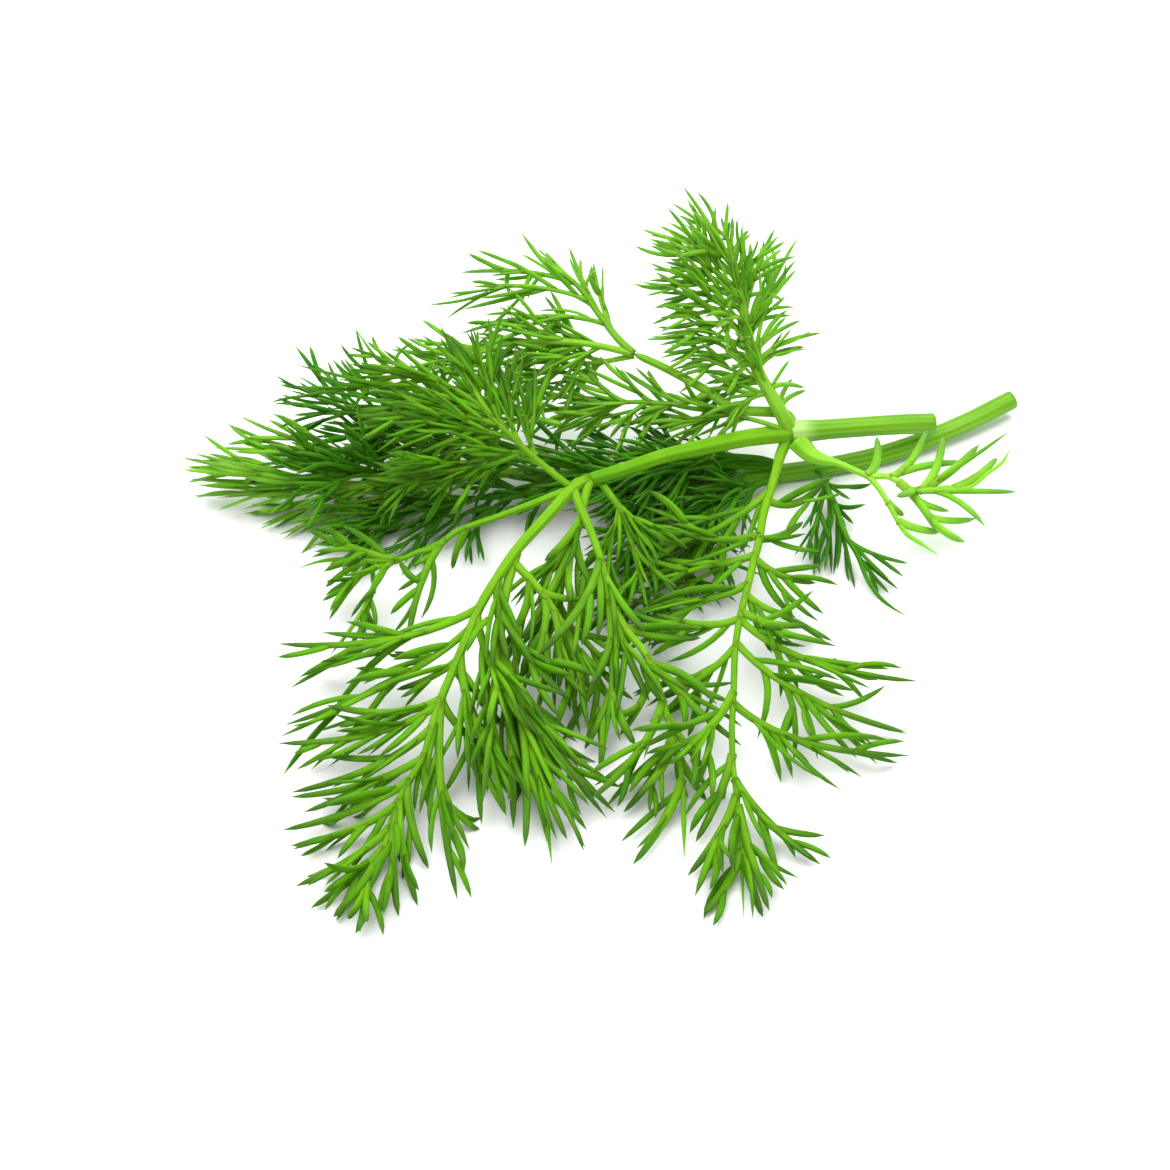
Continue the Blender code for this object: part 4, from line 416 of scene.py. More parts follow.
# %% Divisions inside the bunch
INNER = {
    "frond_front_left": [
        ([(-21.5, -15.5, 22), (-25.5, -12, 21), (-30.5, -11, 19.5), (-37, -11, 17),
          (-45, -9.5, 13)], 0.6, "fine",
         [(0.22, (-38, -5, 20)), (0.4, (-43, -6, 18)), (0.54, (-48, -8, 15)), (0.33, (-37, -13, 13)),
          (0.5, (-43, -13, 11)), (0.69, (-50, -10, 9))]),
    ],
    "frond_back_left": [
        ([(-4.5, 14.5, 21), (-10.5, 14.5, 19.5), (-17, 14.5, 18.5), (-23.5, 13.5, 16.5),
          (-28.5, 11.5, 14)], 0.6, "fine",
         [(0.21, (-19, 20, 20)), (0.42, (-26, 18, 19)), (0.23, (-17, 12, 14)), (0.49, (-24, 9, 13)),
          (0.65, (-30, 12, 16))]),
        ([(20, 3, 14.5), (16.5, 4.5, 14.5), (12, 5.5, 14.5), (7.5, 5, 13.5),
          (2.5, 4.5, 12.5)], 0.6, "fine",
         [(0.22, (8.5, 5.5, 17)), (0.41, (5.5, 8, 17)), (0.25, (10.5, 2, 12)), (0.51, (4, 2.5, 11)),
          (0.66, (-1.5, 7, 14))]),
        ([(-18, 4, 13.5), (-25.5, 4.5, 15.5), (-32.5, 4, 17), (-40, 3, 18), (-47, 1.5, 18)], 0.65, "fine",
         [(0.19, (-31, 7.5, 20)), (0.35, (-38, 8, 21)), (0.54, (-43.5, 7, 20)), (0.19, (-32.5, -0.5, 14)),
          (0.38, (-39, -0.5, 14)), (0.57, (-45.5, -0.5, 14)), (0.75, (-51, 5, 20)),
          (0.82, (-53.5, 1, 16))]),
    ],
    "frond_left_back": [
        ([(-8.5, -2.5, 8), (-15.5, -2.5, 9), (-23.5, -1.5, 9.5), (-32, -1, 10), (-40, 0.5, 10),
          (-48.5, 2.5, 9), (-57, 4, 8)], 0.7, "fine",
         [(0.11, (-22, 1, 14)), (0.24, (-29, 5, 14)), (0.38, (-37, 9, 14)), (0.54, (-46, 11, 13)),
          (0.69, (-54, 11, 12)), (0.81, (-60, 8, 11)), (0.2, (-25, -6, 6)), (0.35, (-34, -7, 6)),
          (0.49, (-42, -4, 5)), (0.65, (-49, -2, 5)), (0.78, (-56, -1, 5))]),
        ([(-37.5, -2.5, 6), (-43.5, -3.5, 8), (-50, -4, 9), (-57, -4, 9.5),
          (-65.5, -3.5, 10)], 0.65, "fine",
         [(0.16, (-49, -0.5, 14)), (0.33, (-56.5, 0.5, 13)), (0.52, (-62.5, -0.5, 12)),
          (0.68, (-67.5, 1, 11)), (0.16, (-50, -7, 5)), (0.36, (-57, -8.5, 5)), (0.55, (-64.5, -7, 5)),
          (0.74, (-68.5, -5.5, 6))]),
    ],
    "frond_left_low": [
        ([(-10.5, -2, 3.5), (-19, -3.5, 4), (-27, -5.5, 4.5), (-35.5, -6, 4.5), (-43.5, -4, 4),
          (-53, -1.5, 3.5)], 0.7, "fine",
         [(0.13, (-24, -2, 8)), (0.31, (-34, -3, 9)), (0.47, (-42, -3, 9)), (0.65, (-50, 0, 8)),
          (0.18, (-26, -9, 3)), (0.36, (-34, -10, 2)), (0.52, (-43, -9, 2)), (0.69, (-51, -6, 2))]),
    ],
    "frond_middle": [
        ([(22, 3, 5), (15, 2, 6), (7.5, 0.5, 7), (-0.5, -1, 7.5), (-9, -3, 7.5)], 0.7, "fine",
         [(0.17, (9, 2, 10)), (0.36, (1, 3, 11)), (0.57, (-7, 1, 11)), (0.79, (-14, -2, 11)),
          (0.19, (8, -2, 5)), (0.41, (0, -3, 4)), (0.62, (-7, -5, 4)), (0.79, (-13, -3, 4))]),
        ([(18.5, 2.5, 6.5), (13, 1, 8.5), (7.5, -0.5, 9.5), (1.5, -2.5, 10), (-4.5, -4, 10)], 0.65, "fine",
         [(0.2, (5.5, 1.5, 12)), (0.39, (-1.5, 1, 13)), (0.56, (-6, 0, 12)), (0.2, (7.5, -3.5, 7)),
          (0.39, (0, -6, 7)), (0.56, (-5.5, -7, 8))]),
    ],
    "frond_under": [
        ([(20.5, 0, 3), (14, -2, 4), (7.5, -3.5, 4.5), (0, -5, 4.5), (-7, -6.5, 4)], 0.7, "fine",
         [(0.16, (8, -2, 8)), (0.42, (-1, -3, 8)), (0.63, (-8, -5, 8)), (0.16, (8, -8, 3)),
          (0.4, (2, -10, 2)), (0.61, (-5, -11, 2)), (0.81, (-10, -10, 2))]),
        ([(21, 1.2, 3.4), (18.5, -2, 4), (14, -5.5, 4.5), (9, -9.5, 4.5), (4, -14, 4)], 0.7, "fine",
         [(0.22, (14, -8.5, 2.5)), (0.5, (7.5, -17.5, 3)), (0.4, (5.5, -8.5, 5.5)), (0.2, (10.5, -4, 6)),
          (0.62, (-1, -16, 3)), (0.7, (1.5, -12.5, 5))]),
        ([(15.5, 2, 3), (11.5, -5, 4.5), (8.5, -12, 5), (6, -19, 5), (4, -26, 4.5)], 0.7, "fine",
         [(0.26, (4, -9, 7)), (0.42, (1, -15.5, 6)), (0.55, (-1.5, -22.5, 5)), (0.38, (13.5, -17.5, 5)),
          (0.58, (11, -25.5, 4)), (0.75, (-2, -29.5, 4))]),
        ([(7.5, 2, 4.5), (3, -4, 6), (-1, -10, 6.5), (-3.5, -16, 6), (-5.5, -23, 5.5)], 0.65, "fine",
         [(0.27, (-5.5, -7.5, 8)), (0.42, (-10, -12, 7)), (0.58, (-11, -20, 6)), (0.39, (5.5, -16, 6)),
          (0.62, (1.5, -22.5, 5)), (0.76, (-10, -29, 5))]),
    ],
}
print("divisions inside:", sum(len(divisions) for divisions in INNER.values()))

# %% [markdown]
# ## Smooth lines
# A line through a few points is made smooth by a Catmull-Rom curve, which passes through every point and
# takes its direction there from the two neighbours. A side shoot needs less: a quadratic curve leaves its
# root in one direction and bends once, as a shoot does that grows out and then turns up to the light.

# %% Lines
STRETCH_POINTS = 12


def unit(vectors):
    """Vectors divided by their lengths, along the last axis."""
    return vectors / np.linalg.norm(vectors, axis=-1, keepdims=True)


def length_of(line):
    return float(np.linalg.norm(np.diff(line, axis=0), axis=1).sum())


def evenly(line, count):
    """The same line as count evenly spaced points."""
    travelled = np.concatenate([[0], np.cumsum(np.linalg.norm(np.diff(line, axis=0), axis=1))])
    return np.stack([np.interp(np.linspace(0, travelled[-1], count), travelled, line[:, axis])
                     for axis in range(3)], axis=1)


def smooth_line(points):
    """A Catmull-Rom curve: on the stretch from b to c, with neighbours a and d and t from 0 to 1, it is
    half of 2b + (c - a)t + (2a - 5b + 4c - d)t^2 + (3b - 3c + d - a)t^3."""
    points = np.asarray(points, float)
    ends = np.concatenate([[2 * points[0] - points[1]], points, [2 * points[-1] - points[-2]]])
    before, here, there, after = ends[:-3], ends[1:-2], ends[2:-1], ends[3:]
    share = np.linspace(0, 1, STRETCH_POINTS, endpoint=False)[:, None, None]
    fine = 0.5 * (2 * here + (there - before) * share
                  + (2 * before - 5 * here + 4 * there - after) * share ** 2
                  + (3 * here - 3 * there + after - before) * share ** 3)
    return np.concatenate([fine.transpose(1, 0, 2).reshape(-1, 3), points[-1:]])


def bow(root, middle, tip, count):
    """A quadratic curve from root to tip, drawn towards middle, as count + 1 points:
    (1 - t)^2 root + 2t(1 - t) middle + t^2 tip."""
    share = np.linspace(0, 1, count + 1)[:, None]
    return (1 - share) ** 2 * root + 2 * share * (1 - share) * middle + share ** 2 * tip


def place_on(line, share):
    """The point at that share of an evenly stepped line, and the line's direction there."""
    at = share * (len(line) - 1)
    first = min(int(at), len(line) - 2)
    step = line[first + 1] - line[first]
    return line[first] + (at - first) * step, unit(step)


def tapered(greatest, taper, count):
    """Radii at count evenly spaced points. A taper is shares of the length, and the radius's share there."""
    return greatest * np.interp(np.linspace(0, 1, count), *taper)


def above_table(line, radii):
    """The line with its low points raised, so that its underside doesn't pass through the table."""
    line = line.copy()
    line[:, 2] = np.maximum(line[:, 2], radii)
    return line


print("a bow of 5 points:", bow(np.zeros(3), np.array((1.0, 1, 0)), np.array((2.0, 0, 0)), 4)[:, 1].round(2))

# %% [markdown]
# ## Growing without running into each other
# Real shoots push past one another. So each new shoot is tried straight first, then bent out of its plane
# by a little more each time, until it has room. For that, everything that has grown so far is kept as
# short straight pieces with a radius, and the gap from a new line to all of them is measured at once. The
# plain solids in the frame were grown by the same rule with the same draws, so the threads fall where
# those are.

# %% What has grown, and how much room there is
NODE_GAP, OWN_GAP = 0.3, 0.25
SAMPLE_STEP = 0.8
LOOK_AROUND = 6.0
FREE_FROM = 0.4


class Growth:
    """Every shoot so far, as straight pieces with a radius and the node that they belong to."""

    def __init__(self):
        self.drawn = {}
        self.starts = np.zeros((0, 3))
        self.steps = np.zeros((0, 3))
        self.radii = np.zeros(0)
        self.owners = np.zeros(0, int)

    def add(self, node, line, radii):
        self.drawn.setdefault(node, [])
        owner = list(self.drawn).index(node)
        self.starts = np.concatenate([self.starts, line[:-1]])
        self.steps = np.concatenate([self.steps, np.diff(line, axis=0)])
        self.radii = np.concatenate([self.radii, np.maximum(radii[:-1], radii[1:])])
        self.owners = np.concatenate([self.owners, np.full(len(line) - 1, owner)])

    def draw(self, node, shoot):
        self.drawn[node].append(shoot)

    def room(self, node, line, radii):
        """The smallest gap from the line to other nodes' shoots, and from its outer part to its own node's.
        A piece's nearest spot is start + s * step, with s = (spot - start) . step / |step|^2 in 0 to 1."""
        owner = list(self.drawn).index(node)
        low, high = line.min(axis=0) - LOOK_AROUND, line.max(axis=0) + LOOK_AROUND
        ends = self.starts + self.steps
        near = ((np.minimum(self.starts, ends) < high) & (np.maximum(self.starts, ends) > low)).all(axis=1)
        if not near.any():
            return math.inf, math.inf
        count = max(2, round(length_of(line) / SAMPLE_STEP))
        share, rings = np.linspace(0, 1, count), np.linspace(0, 1, len(line))
        spots = np.stack([np.interp(share, rings, line[:, axis]) for axis in range(3)], axis=1)
        thick = np.interp(share, rings, radii)
        start, step = self.starts[near][None], self.steps[near][None]
        along = ((spots[:, None] - start) * step).sum(axis=2) / (step ** 2).sum(axis=2)
        nearest = start + np.clip(along, 0, 1)[..., None] * step
        gap = np.linalg.norm(spots[:, None] - nearest, axis=2) - thick[:, None] - self.radii[near]
        foreign = self.owners[near] != owner
        others = gap[:, foreign].min() if foreign.any() else math.inf
        own = gap[share > FREE_FROM][:, ~foreign].min() if (~foreign).any() else math.inf
        return others, own


print("a new shoot keeps", NODE_GAP, "mm from other fronds and", OWN_GAP, "mm from its own")

# %% [markdown]
# ## A shoot as it is drawn
# Dill threads are flattened, widest near the root, and run out in a short fine tip. A shoot is kept twice:
# coarsely, as it grew and as the plain solids have it, and finely, as it will be drawn. The fine line starts
# in the middle of the shoot that carries it, so no root stands off its stalk.

# %% Shoots
STATIONS = (48, 14, 7, 7, 7)
THIN = (0.85, 0.7, 0.62, 0.62, 0.62)
GRAFT_SPOTS = 240
NO_SHEATH = (1.0, 0.001)


class Shoot:
    """One shoot: its order (0 for a stalk, 1 a pinna, 2 a lobe, 3 a fork, 4 a filler), its fine line and
    half widths, the way its flat side faces, its style, its coarse line, and the share that is sheath."""

    def __init__(self, order, line, widths, facing, style, rings, sheath=NO_SHEATH[1]):
        self.order = order
        self.line = above_table(line, THIN[order] * widths)
        self.widths = widths
        self.facing = facing
        self.style = style
        self.rings = rings
        self.sheath = sheath


def grafted(line, parent):
    """The line with its root moved onto the parent's, and less of that move the further out: (1 - t)^2."""
    spots = evenly(parent, GRAFT_SPOTS)
    offset = spots[np.linalg.norm(spots - line[0], axis=1).argmin()] - line[0]
    return line + offset * (1 - np.linspace(0, 1, len(line))[:, None]) ** 2


print("stations of a stalk, a pinna and the threads:", STATIONS)

# %% [markdown]
# ## Pinnae, and threads given one by one
# A pinna leaves its stalk almost along it and swings out to its tip. Where it would touch another frond,
# its tip is moved up and forward or down and back by a few millimetres, to the first place with room.

# %% Pinnae
PINNA_STEP = 7.0
PINNA_RADIUS, LOBE_RADIUS = 0.74, 0.62
PINNA_TAPER = (0, 0.5, 0.8, 1), (1.0, 0.85, 0.72, 0.0)
LOBE_TAPER = (0, 0.5, 1), (0.6, 1.0, 0.0)
PINNA_WIDTHS = (0, 0.5, 0.8, 0.93, 1), (0.95, 0.85, 0.76, 0.55, 0.08)
LOBE_WIDTHS = (0, 0.15, 0.66, 0.86, 1), (0.85, 1.0, 0.92, 0.66, 0.06)
SHOOTS = None, (PINNA_RADIUS, PINNA_TAPER, PINNA_WIDTHS), (LOBE_RADIUS, LOBE_TAPER, LOBE_WIDTHS)
LIFTS = (0, 1, -1, 2, -2, 3, -3, 4, 5, 6, 7.5)
SWING, SWINGS_AT = 0.58, 0.42
WORTH_MOVING = 0.1
PINNA_LEANS = (0, -0.1, 0.2)


def grow_shoot(growth, node, parent, share, tip, style, order):
    """A shoot from its parent to its tip, raised or lowered until it is clear of the other nodes."""
    root, heading = place_on(parent.rings, share)
    slim = STYLES[style][-1]
    radius, taper, widths = SHOOTS[min(order, 2)]
    best = None
    for lift in LIFTS:
        end = np.asarray(tip, float) + (0, -lift, lift)
        reach = end - root
        length = np.linalg.norm(reach)
        middle = root + SWINGS_AT * length * unit((1 - SWING) * heading + SWING * unit(reach))
        count = max(3 if order == 1 else 2, round(length / PINNA_STEP))
        radii = tapered(slim * radius, taper, count + 1)
        line = above_table(bow(root, middle, end, count), radii)
        others, own = growth.room(node, line, radii)
        if others > NODE_GAP and (best is None or own > best[0] + WORTH_MOVING):
            best = own, line, radii, bow(root, middle, end, STATIONS[order] - 1)
        if best is not None and best[0] > OWN_GAP:
            break
    if best is None:
        return None
    facing = np.cross(heading, unit(best[1][-1] - root))
    facing = unit(facing * (1 if facing[2] > 0 else -1) + PINNA_LEANS)
    growth.add(node, best[1], best[2])
    fine = grafted(best[3], parent.line)
    shoot = Shoot(order, fine, tapered(slim * radius, widths, STATIONS[order]), facing, style, best[1])
    growth.draw(node, shoot)
    return shoot


def grow_laid(growth, node, parent, style, record, order, bearers):
    """A pinna with the threads laid on it. One without a list of threads bears them by rule."""
    share, tip, *threads = record
    shoot = grow_shoot(growth, node, parent, share, tip - ORIGIN, style, order)
    if shoot is None:
        return
    for thread in threads[0] if threads else []:
        grow_laid(growth, node, shoot, style, thread, order + 1, bearers)
    if order == 1 and not threads:
        bearers.append((node, shoot))


print("before the style's breadth, a pinna is", 2 * PINNA_RADIUS, "mm broad and a thread", 2 * LOBE_RADIUS)

# %% [markdown]
# ## Lobes by rule
# Lobes leave a pinna by turns on one side and the other and turn forward again, so all tips point nearly the
# same way, which gives dill its combed look. The lower lobes fork once.

# %% Lobes
BENDS = [math.radians(angle) for angle in (0, 15, -15, 30, -30, 48, -48, 70, -70)]
SHORTENED = 0.7
MOST_A_SIDE = 5
FIRST_LOBE, LAST_LOBE = 0.28, 0.68
ENDS_AT = math.radians(8)
LOBE_SLIP, LOBE_SHARES = 0.03, (0.08, 0.9)
LOBE_TILT, LOBE_SIZES, BEYOND_TIP = 0.16, (0.85, 1.12), 3.5
FORKS_BEFORE, FORKS_OVER = 0.5, 8
FORK_AT, FORK_SHARE, FORK_ANGLE = 0.4, 0.68, 0.9


def grow_lobe(growth, node, parent, root, heading, sideways, facing, length, leaves, order=2, gap=OWN_GAP):
    """A lobe that leaves at an angle and turns along the heading, bent out of plane until it is clear."""
    breadth = STYLES[parent.style][-1]
    for size in (length, SHORTENED * length):
        for bend in BENDS:
            aside = math.cos(bend) * sideways + math.sin(bend) * facing
            leaving = math.cos(leaves) * heading + math.sin(leaves) * aside
            ending = math.cos(ENDS_AT) * heading + math.sin(ENDS_AT) * aside
            middle = root + 0.5 * size * leaving
            tip = middle + 0.5 * size * ending
            radii = tapered(breadth * LOBE_RADIUS, LOBE_TAPER, 3)
            line = above_table(bow(root, middle, tip, 2), radii)
            others, own = growth.room(node, line, radii)
            if others > NODE_GAP and own > gap:
                growth.add(node, line, radii)
                widths = tapered(breadth * LOBE_RADIUS, LOBE_WIDTHS, STATIONS[order])
                upward = math.cos(bend) * facing - math.sin(bend) * sideways
                fine = grafted(bow(root, middle, tip, STATIONS[order] - 1), parent.line)
                lobe = Shoot(order, fine, widths, upward, parent.style, line)
                growth.draw(node, lobe)
                return lobe
    return None


def grow_lobes(growth, node, parent, draw):
    """Lobes by turns on one side and the other of a pinna or of a rachis's end, the lower ones forked."""
    spacing, shortest, longest, leaves, _ = STYLES[parent.style]
    leaves = math.radians(leaves)
    length = length_of(parent.rings)
    a_side = int(np.clip(round(length * (LAST_LOBE - FIRST_LOBE) / spacing) + 1, 1, MOST_A_SIDE))
    shares = np.linspace(FIRST_LOBE, LAST_LOBE, 2 * a_side)
    for number, share in enumerate(shares):
        side = 1 if number % 2 else -1
        share = float(np.clip(share + draw.uniform(-LOBE_SLIP, LOBE_SLIP), *LOBE_SHARES))
        root, heading = place_on(parent.rings, share)
        up = unit(parent.facing + draw.normal(0, LOBE_TILT, 3))
        sideways = side * unit(np.cross(up, heading))
        size = float(np.clip(length * (1 - share) + BEYOND_TIP, shortest, longest))
        size *= draw.uniform(*LOBE_SIZES)
        lobe = grow_lobe(growth, node, parent, root, heading, sideways, up, size, leaves)
        if lobe is not None and share < FORKS_BEFORE and size > FORKS_OVER:
            root, along = place_on(lobe.rings, FORK_AT)
            outer = side * unit(np.cross(up, along))
            fork, wide = FORK_SHARE * size, FORK_ANGLE * leaves
            grow_lobe(growth, node, lobe, root, along, outer, up, fork, wide, 3)


print("a pinna gets up to", 2 * MOST_A_SIDE, "lobes")

# %% [markdown]
# ## Stalks
# A dill leaf holds its stem by a sheath, a flat pale foot of the stalk that narrows into it. In this bunch
# the short stem's node shows three of them. Stalks whose roots lie near the node or a stem are begun
# inside it, so that they grow out of it with no gap and no blunt end.

# %% Stalks
RACHIS_STEP, TIP_LENGTH = 6.5, 19.0
RACHIS_TAPER = (0, 0.25, 0.5, 0.88, 1), (1.0, 0.8, 0.65, 0.5, 0.0)
RACHIS_WIDTHS = (0, 0.25, 0.5, 0.88, 1), (1.0, 0.8, 0.65, 0.5, 0.05)
PETIOLE_TAPER = (0, 0.6, 1), (1.0, 0.75, 0.5)
PETIOLE_WIDTHS = (0, 0.6, 1), (1.0, 0.78, 0.66)
PETIOLE_ENDS = 0.93
# Places inside the node, the stems and the petioles, and how near a stalk's root has to be to begin there.
ROOTED_IN = np.array([
    (24.2, 3.3, 12.2), (25.4, 2.2, 11.2), (-26, 1.4, 3.6), (-12.6, -16.1, 18.75), (-11, -15.3, 18.5),
    (29, 4.6, 1.8), (22.5, 3.6, 2.2), (21.5, 3, 4.9), (9, 2.2, 1.8)])
ROOTED_WITHIN = np.array((5.2, 3.6, 4.6, 4.6, 2.4, 4, 4.6, 3.6, 3.2))
# How much broader the sheath is at its root, and the share of the stalk that it takes.
SHEATHS = {"frond_right": (2.6, 0.24), "frond_upright": (1.1, 0.1), "frond_front_right": (1.3, 0.08)}
SHEATH_CURVE = 0.7
STALK_FACES, END_LEANS = (0.0, -0.3, 1.0), (0, -0.1, 0.8)


def rooted(points):
    """The points of a stalk, begun inside the node or the stem when that is near its root."""
    away = np.linalg.norm(ROOTED_IN - points[0], axis=1) / ROOTED_WITHIN
    return [tuple(ROOTED_IN[away.argmin()])] + points if away.min() < 1 else points


def stalk_widths(radius, style, broader, reach):
    """Half widths of a stalk. A petiole ends round, by sqrt(1 - c^2) with c from 0 to 1 over its last bit.
    A sheath is broader by (broader - 1) * (1 - t / reach) to the power SHEATH_CURVE."""
    along = np.linspace(0, 1, STATIONS[0])
    widths = tapered(radius, RACHIS_WIDTHS if style else PETIOLE_WIDTHS, STATIONS[0])
    if not style:
        closing = np.clip((along - PETIOLE_ENDS) / (1 - PETIOLE_ENDS), 0, 0.99)
        widths = widths * np.sqrt(1 - closing ** 2)
    return widths * (1 + (broader - 1) * np.clip(1 - along / reach, 0, 1) ** SHEATH_CURVE)


def grow_divisions(growth, fronds, draw):
    """Fronds on what has grown: all the rachises first, then all the pinnae, and the lobes last."""
    rachises = []
    for node, divisions in fronds.items():
        for points, radius, style, pinnae in divisions:
            coarse = smooth_line(points) - ORIGIN
            line = evenly(coarse, max(2, round(length_of(coarse) / RACHIS_STEP)) + 1)
            radii = tapered(radius, RACHIS_TAPER if style else PETIOLE_TAPER, len(line))
            line = above_table(line, radii)
            growth.add(node, line, radii)
            broader, reach = SHEATHS.get(node, NO_SHEATH) if points is divisions[0][0] else NO_SHEATH
            widths = stalk_widths(radius, style, broader, reach)
            fine = evenly(smooth_line(rooted(points)) - ORIGIN, STATIONS[0])
            stalk = Shoot(0, fine, widths, np.array(STALK_FACES), style, line, reach)
            growth.draw(node, stalk)
            rachises.append((node, stalk, style, pinnae))
    bearers = []
    for node, stalk, style, pinnae in rachises:
        for record in pinnae:
            grow_laid(growth, node, stalk, style, record, 1, bearers)
        if style and not any(len(record) > 2 for record in pinnae):
            last = max(2, round(TIP_LENGTH / RACHIS_STEP))
            end = stalk.rings[-last - 1:]
            facing = np.cross((1.0, 0, 0), end[-1] - end[0])
            facing = unit(unit(facing * (1 if facing[2] > 0 else -1)) + END_LEANS)
            bearers.append((node, Shoot(0, stalk.line, stalk.widths, facing, style, end)))
    for bearer in bearers:
        grow_lobes(growth, *bearer, draw)


print("sheaths:", ", ".join(SHEATHS))

# %% [markdown]
# ## The second pass
# The threads so far are those of the plain solids. Real fronds have more, and a solid with every thread in
# it would be far too heavy to test. So smaller threads now fill the gaps on every pinna, long threads fork,
# and hair-like threads stand all round the stalks of the tufted frond and of the long stem's end.

# %% Tufts, fillers and forks
FILL_GAP = 0.0
# For a style: the share of its stalk where tufts begin, their step, and their shortest and longest length.
TUFTS = {"tufted": (0.22, 0.9, 6, 11), "tail": (0.3, 2.5, 5, 8)}
TUFTED_TO, TUFT_ANGLES, TUFTS_SHORTEN = 0.9, (25, 50), 1.4
# The step of the fillers as a share of the style's spacing, and the share of the pinna where they end.
FILLING = {"combed": 0.72, "open": 0.75, "curly": 0.9, "tufted": 0.42, "fine": 0.62, "tail": 0.32}
FILLED_FROM, FILLED_TO, TUFTED_FILLED_TO = 0.14, 0.8, 0.6
FILL_SLIP, FILL_TILT, FILL_SHARES = 0.04, 0.2, (0.1, 0.85)
FILL_SHORTEST, FILL_LONGEST, FILL_SIZES, FILL_ANGLES = 0.7, 0.85, (0.8, 1.1), (0.8, 1.2)
FORKS_FROM, FORKS_AT = 10.0, (0.36,)


def tuft(growth, draw):
    """Hair-like threads that stand on the stalk of a tufted frond itself, all round it."""
    for node, drawn in growth.drawn.items():
        for shoot in [shoot for shoot in drawn if shoot.order == 0 and shoot.style in TUFTS]:
            first, step, shortest, longest = TUFTS[shoot.style]
            for share in np.arange(first, TUFTED_TO, step / length_of(shoot.line)):
                root, heading = place_on(shoot.line, float(share))
                sideways = unit(np.cross(heading, draw.normal(0, 1, 3)))
                up = np.cross(sideways, heading)
                size = draw.uniform(shortest, longest) * min(1.0, TUFTS_SHORTEN - share)
                angle = math.radians(draw.uniform(*TUFT_ANGLES))
                grow_lobe(growth, node, shoot, root, heading, sideways, up, size, angle, 4, FILL_GAP)


def fill_out(growth, draw):
    """More lobes on every pinna and a fork on every long lobe. They may stand close to their own frond's."""
    for node, drawn in growth.drawn.items():
        for shoot in [shoot for shoot in drawn if shoot.order in (1, 2)]:
            length = length_of(shoot.line)
            if shoot.style not in FILLING or shoot.order == 2 and length < FORKS_FROM:
                continue
            spacing, shortest, longest, leaves, _ = STYLES[shoot.style]
            last = TUFTED_FILLED_TO if shoot.style == "tufted" else FILLED_TO
            step = FILLING[shoot.style] * spacing / length
            for share in np.arange(FILLED_FROM, last, step) if shoot.order == 1 else FORKS_AT:
                side = draw.choice((-1, 1))
                slipped = float(np.clip(share + draw.uniform(-FILL_SLIP, FILL_SLIP), *FILL_SHARES))
                root, heading = place_on(shoot.line, slipped)
                up = unit(shoot.facing + draw.normal(0, FILL_TILT, 3))
                size = float(np.clip(length * (1 - share), FILL_SHORTEST * shortest, FILL_LONGEST * longest))
                size *= draw.uniform(*FILL_SIZES)
                angle = math.radians(leaves * draw.uniform(*FILL_ANGLES))
                sideways = side * unit(np.cross(up, heading))
                grow_lobe(growth, node, shoot, root, heading, sideways, up, size, angle, 4, FILL_GAP)


print("styles that get fillers:", ", ".join(FILLING))

# %% [markdown]
# ## Growing the bunch
# The stems come first, then the fronds of the plain solids, the divisions inside, the tufts and the
# fillers. Each pass has its own seeded draw, so one can be changed without moving the others.

# %% Growing the bunch
STEM_STEP = 5.0

growth = Growth()
for node, (points, radii) in STEMS.items():
    fine = smooth_line(points) - ORIGIN
    line = evenly(fine, round(length_of(fine) / STEM_STEP) + 1)
    where = np.linspace(0, 1, len(line))
    growth.add(node, line, np.interp(where, np.linspace(0, 1, len(radii)), radii))
grow_divisions(growth, FRONDS, np.random.default_rng(7))
grow_divisions(growth, INNER, np.random.default_rng(8))
tuft(growth, np.random.default_rng(10))
fill_out(growth, np.random.default_rng(9))
counts = np.bincount([shoot.order for drawn in growth.drawn.values() for shoot in drawn])
print("stalks, pinnae, lobes, forks, fillers:", counts)

# %% [markdown]
# ## The skin of a shoot
# Every shoot is a tube with a flat oval section: broad across, thinner through, and pointed at its end.
# All shoots of one order have the same number of stations, so the skins of hundreds of them are worked
# out in one sum, as one array of shoots x stations x points round. Two vectors are kept at each point for
# the finishes to read: where the point is on its shoot, and how the tissue there has grown, with a tone
# that is partly painted shade.

# %% Skins
def skin(lines, widths, thin, facing, around, ribs=0, rib_depth=0.0):
    """Tubes round many lines at once. With T the line's direction, S = T x facing and N = S x T, a point is
    line + width * (1 + rib_depth * cos(ribs * turn)) * (cos(turn) * S + thin * sin(turn) * N)."""
    tangents = unit(np.gradient(lines, axis=1))
    sideways = unit(np.cross(tangents, facing[:, None]))
    upward = np.cross(sideways, tangents)
    turn = np.linspace(0, 2 * math.pi, around, endpoint=False)
    reach = widths[..., None, None] * (1 + rib_depth * np.cos(ribs * turn))[:, None]
    across, above = np.cos(turn)[:, None], np.sin(turn)[:, None]
    points = lines[:, :, None] + reach * (across * sideways[:, :, None] + thin * above * upward[:, :, None])
    return points, turn


def at_points(whole, *parts):
    """Three arrays as one vector for each point of the whole array."""
    return np.stack([np.broadcast_to(part, whole) for part in parts], axis=-1).reshape(-1, 3)


def tube_faces(tubes, stations, around):
    """The corner numbers of the tubes' four-sided faces and end caps, and the number of corners of each."""
    first = np.arange(tubes)[:, None, None] * stations * around
    ring = first + np.arange(stations - 1)[:, None] * around
    here = np.arange(around)
    there = (here + 1) % around
    sides = np.stack([ring + here, ring + there, ring + around + there, ring + around + here], axis=-1)
    caps = np.concatenate([first[:, 0] + here[::-1], first[:, 0] + (stations - 1) * around + here])
    sizes = np.concatenate([np.full(sides.size // 4, 4), np.full(2 * tubes, around)])
    return np.concatenate([sides.ravel(), caps.ravel()]), sizes


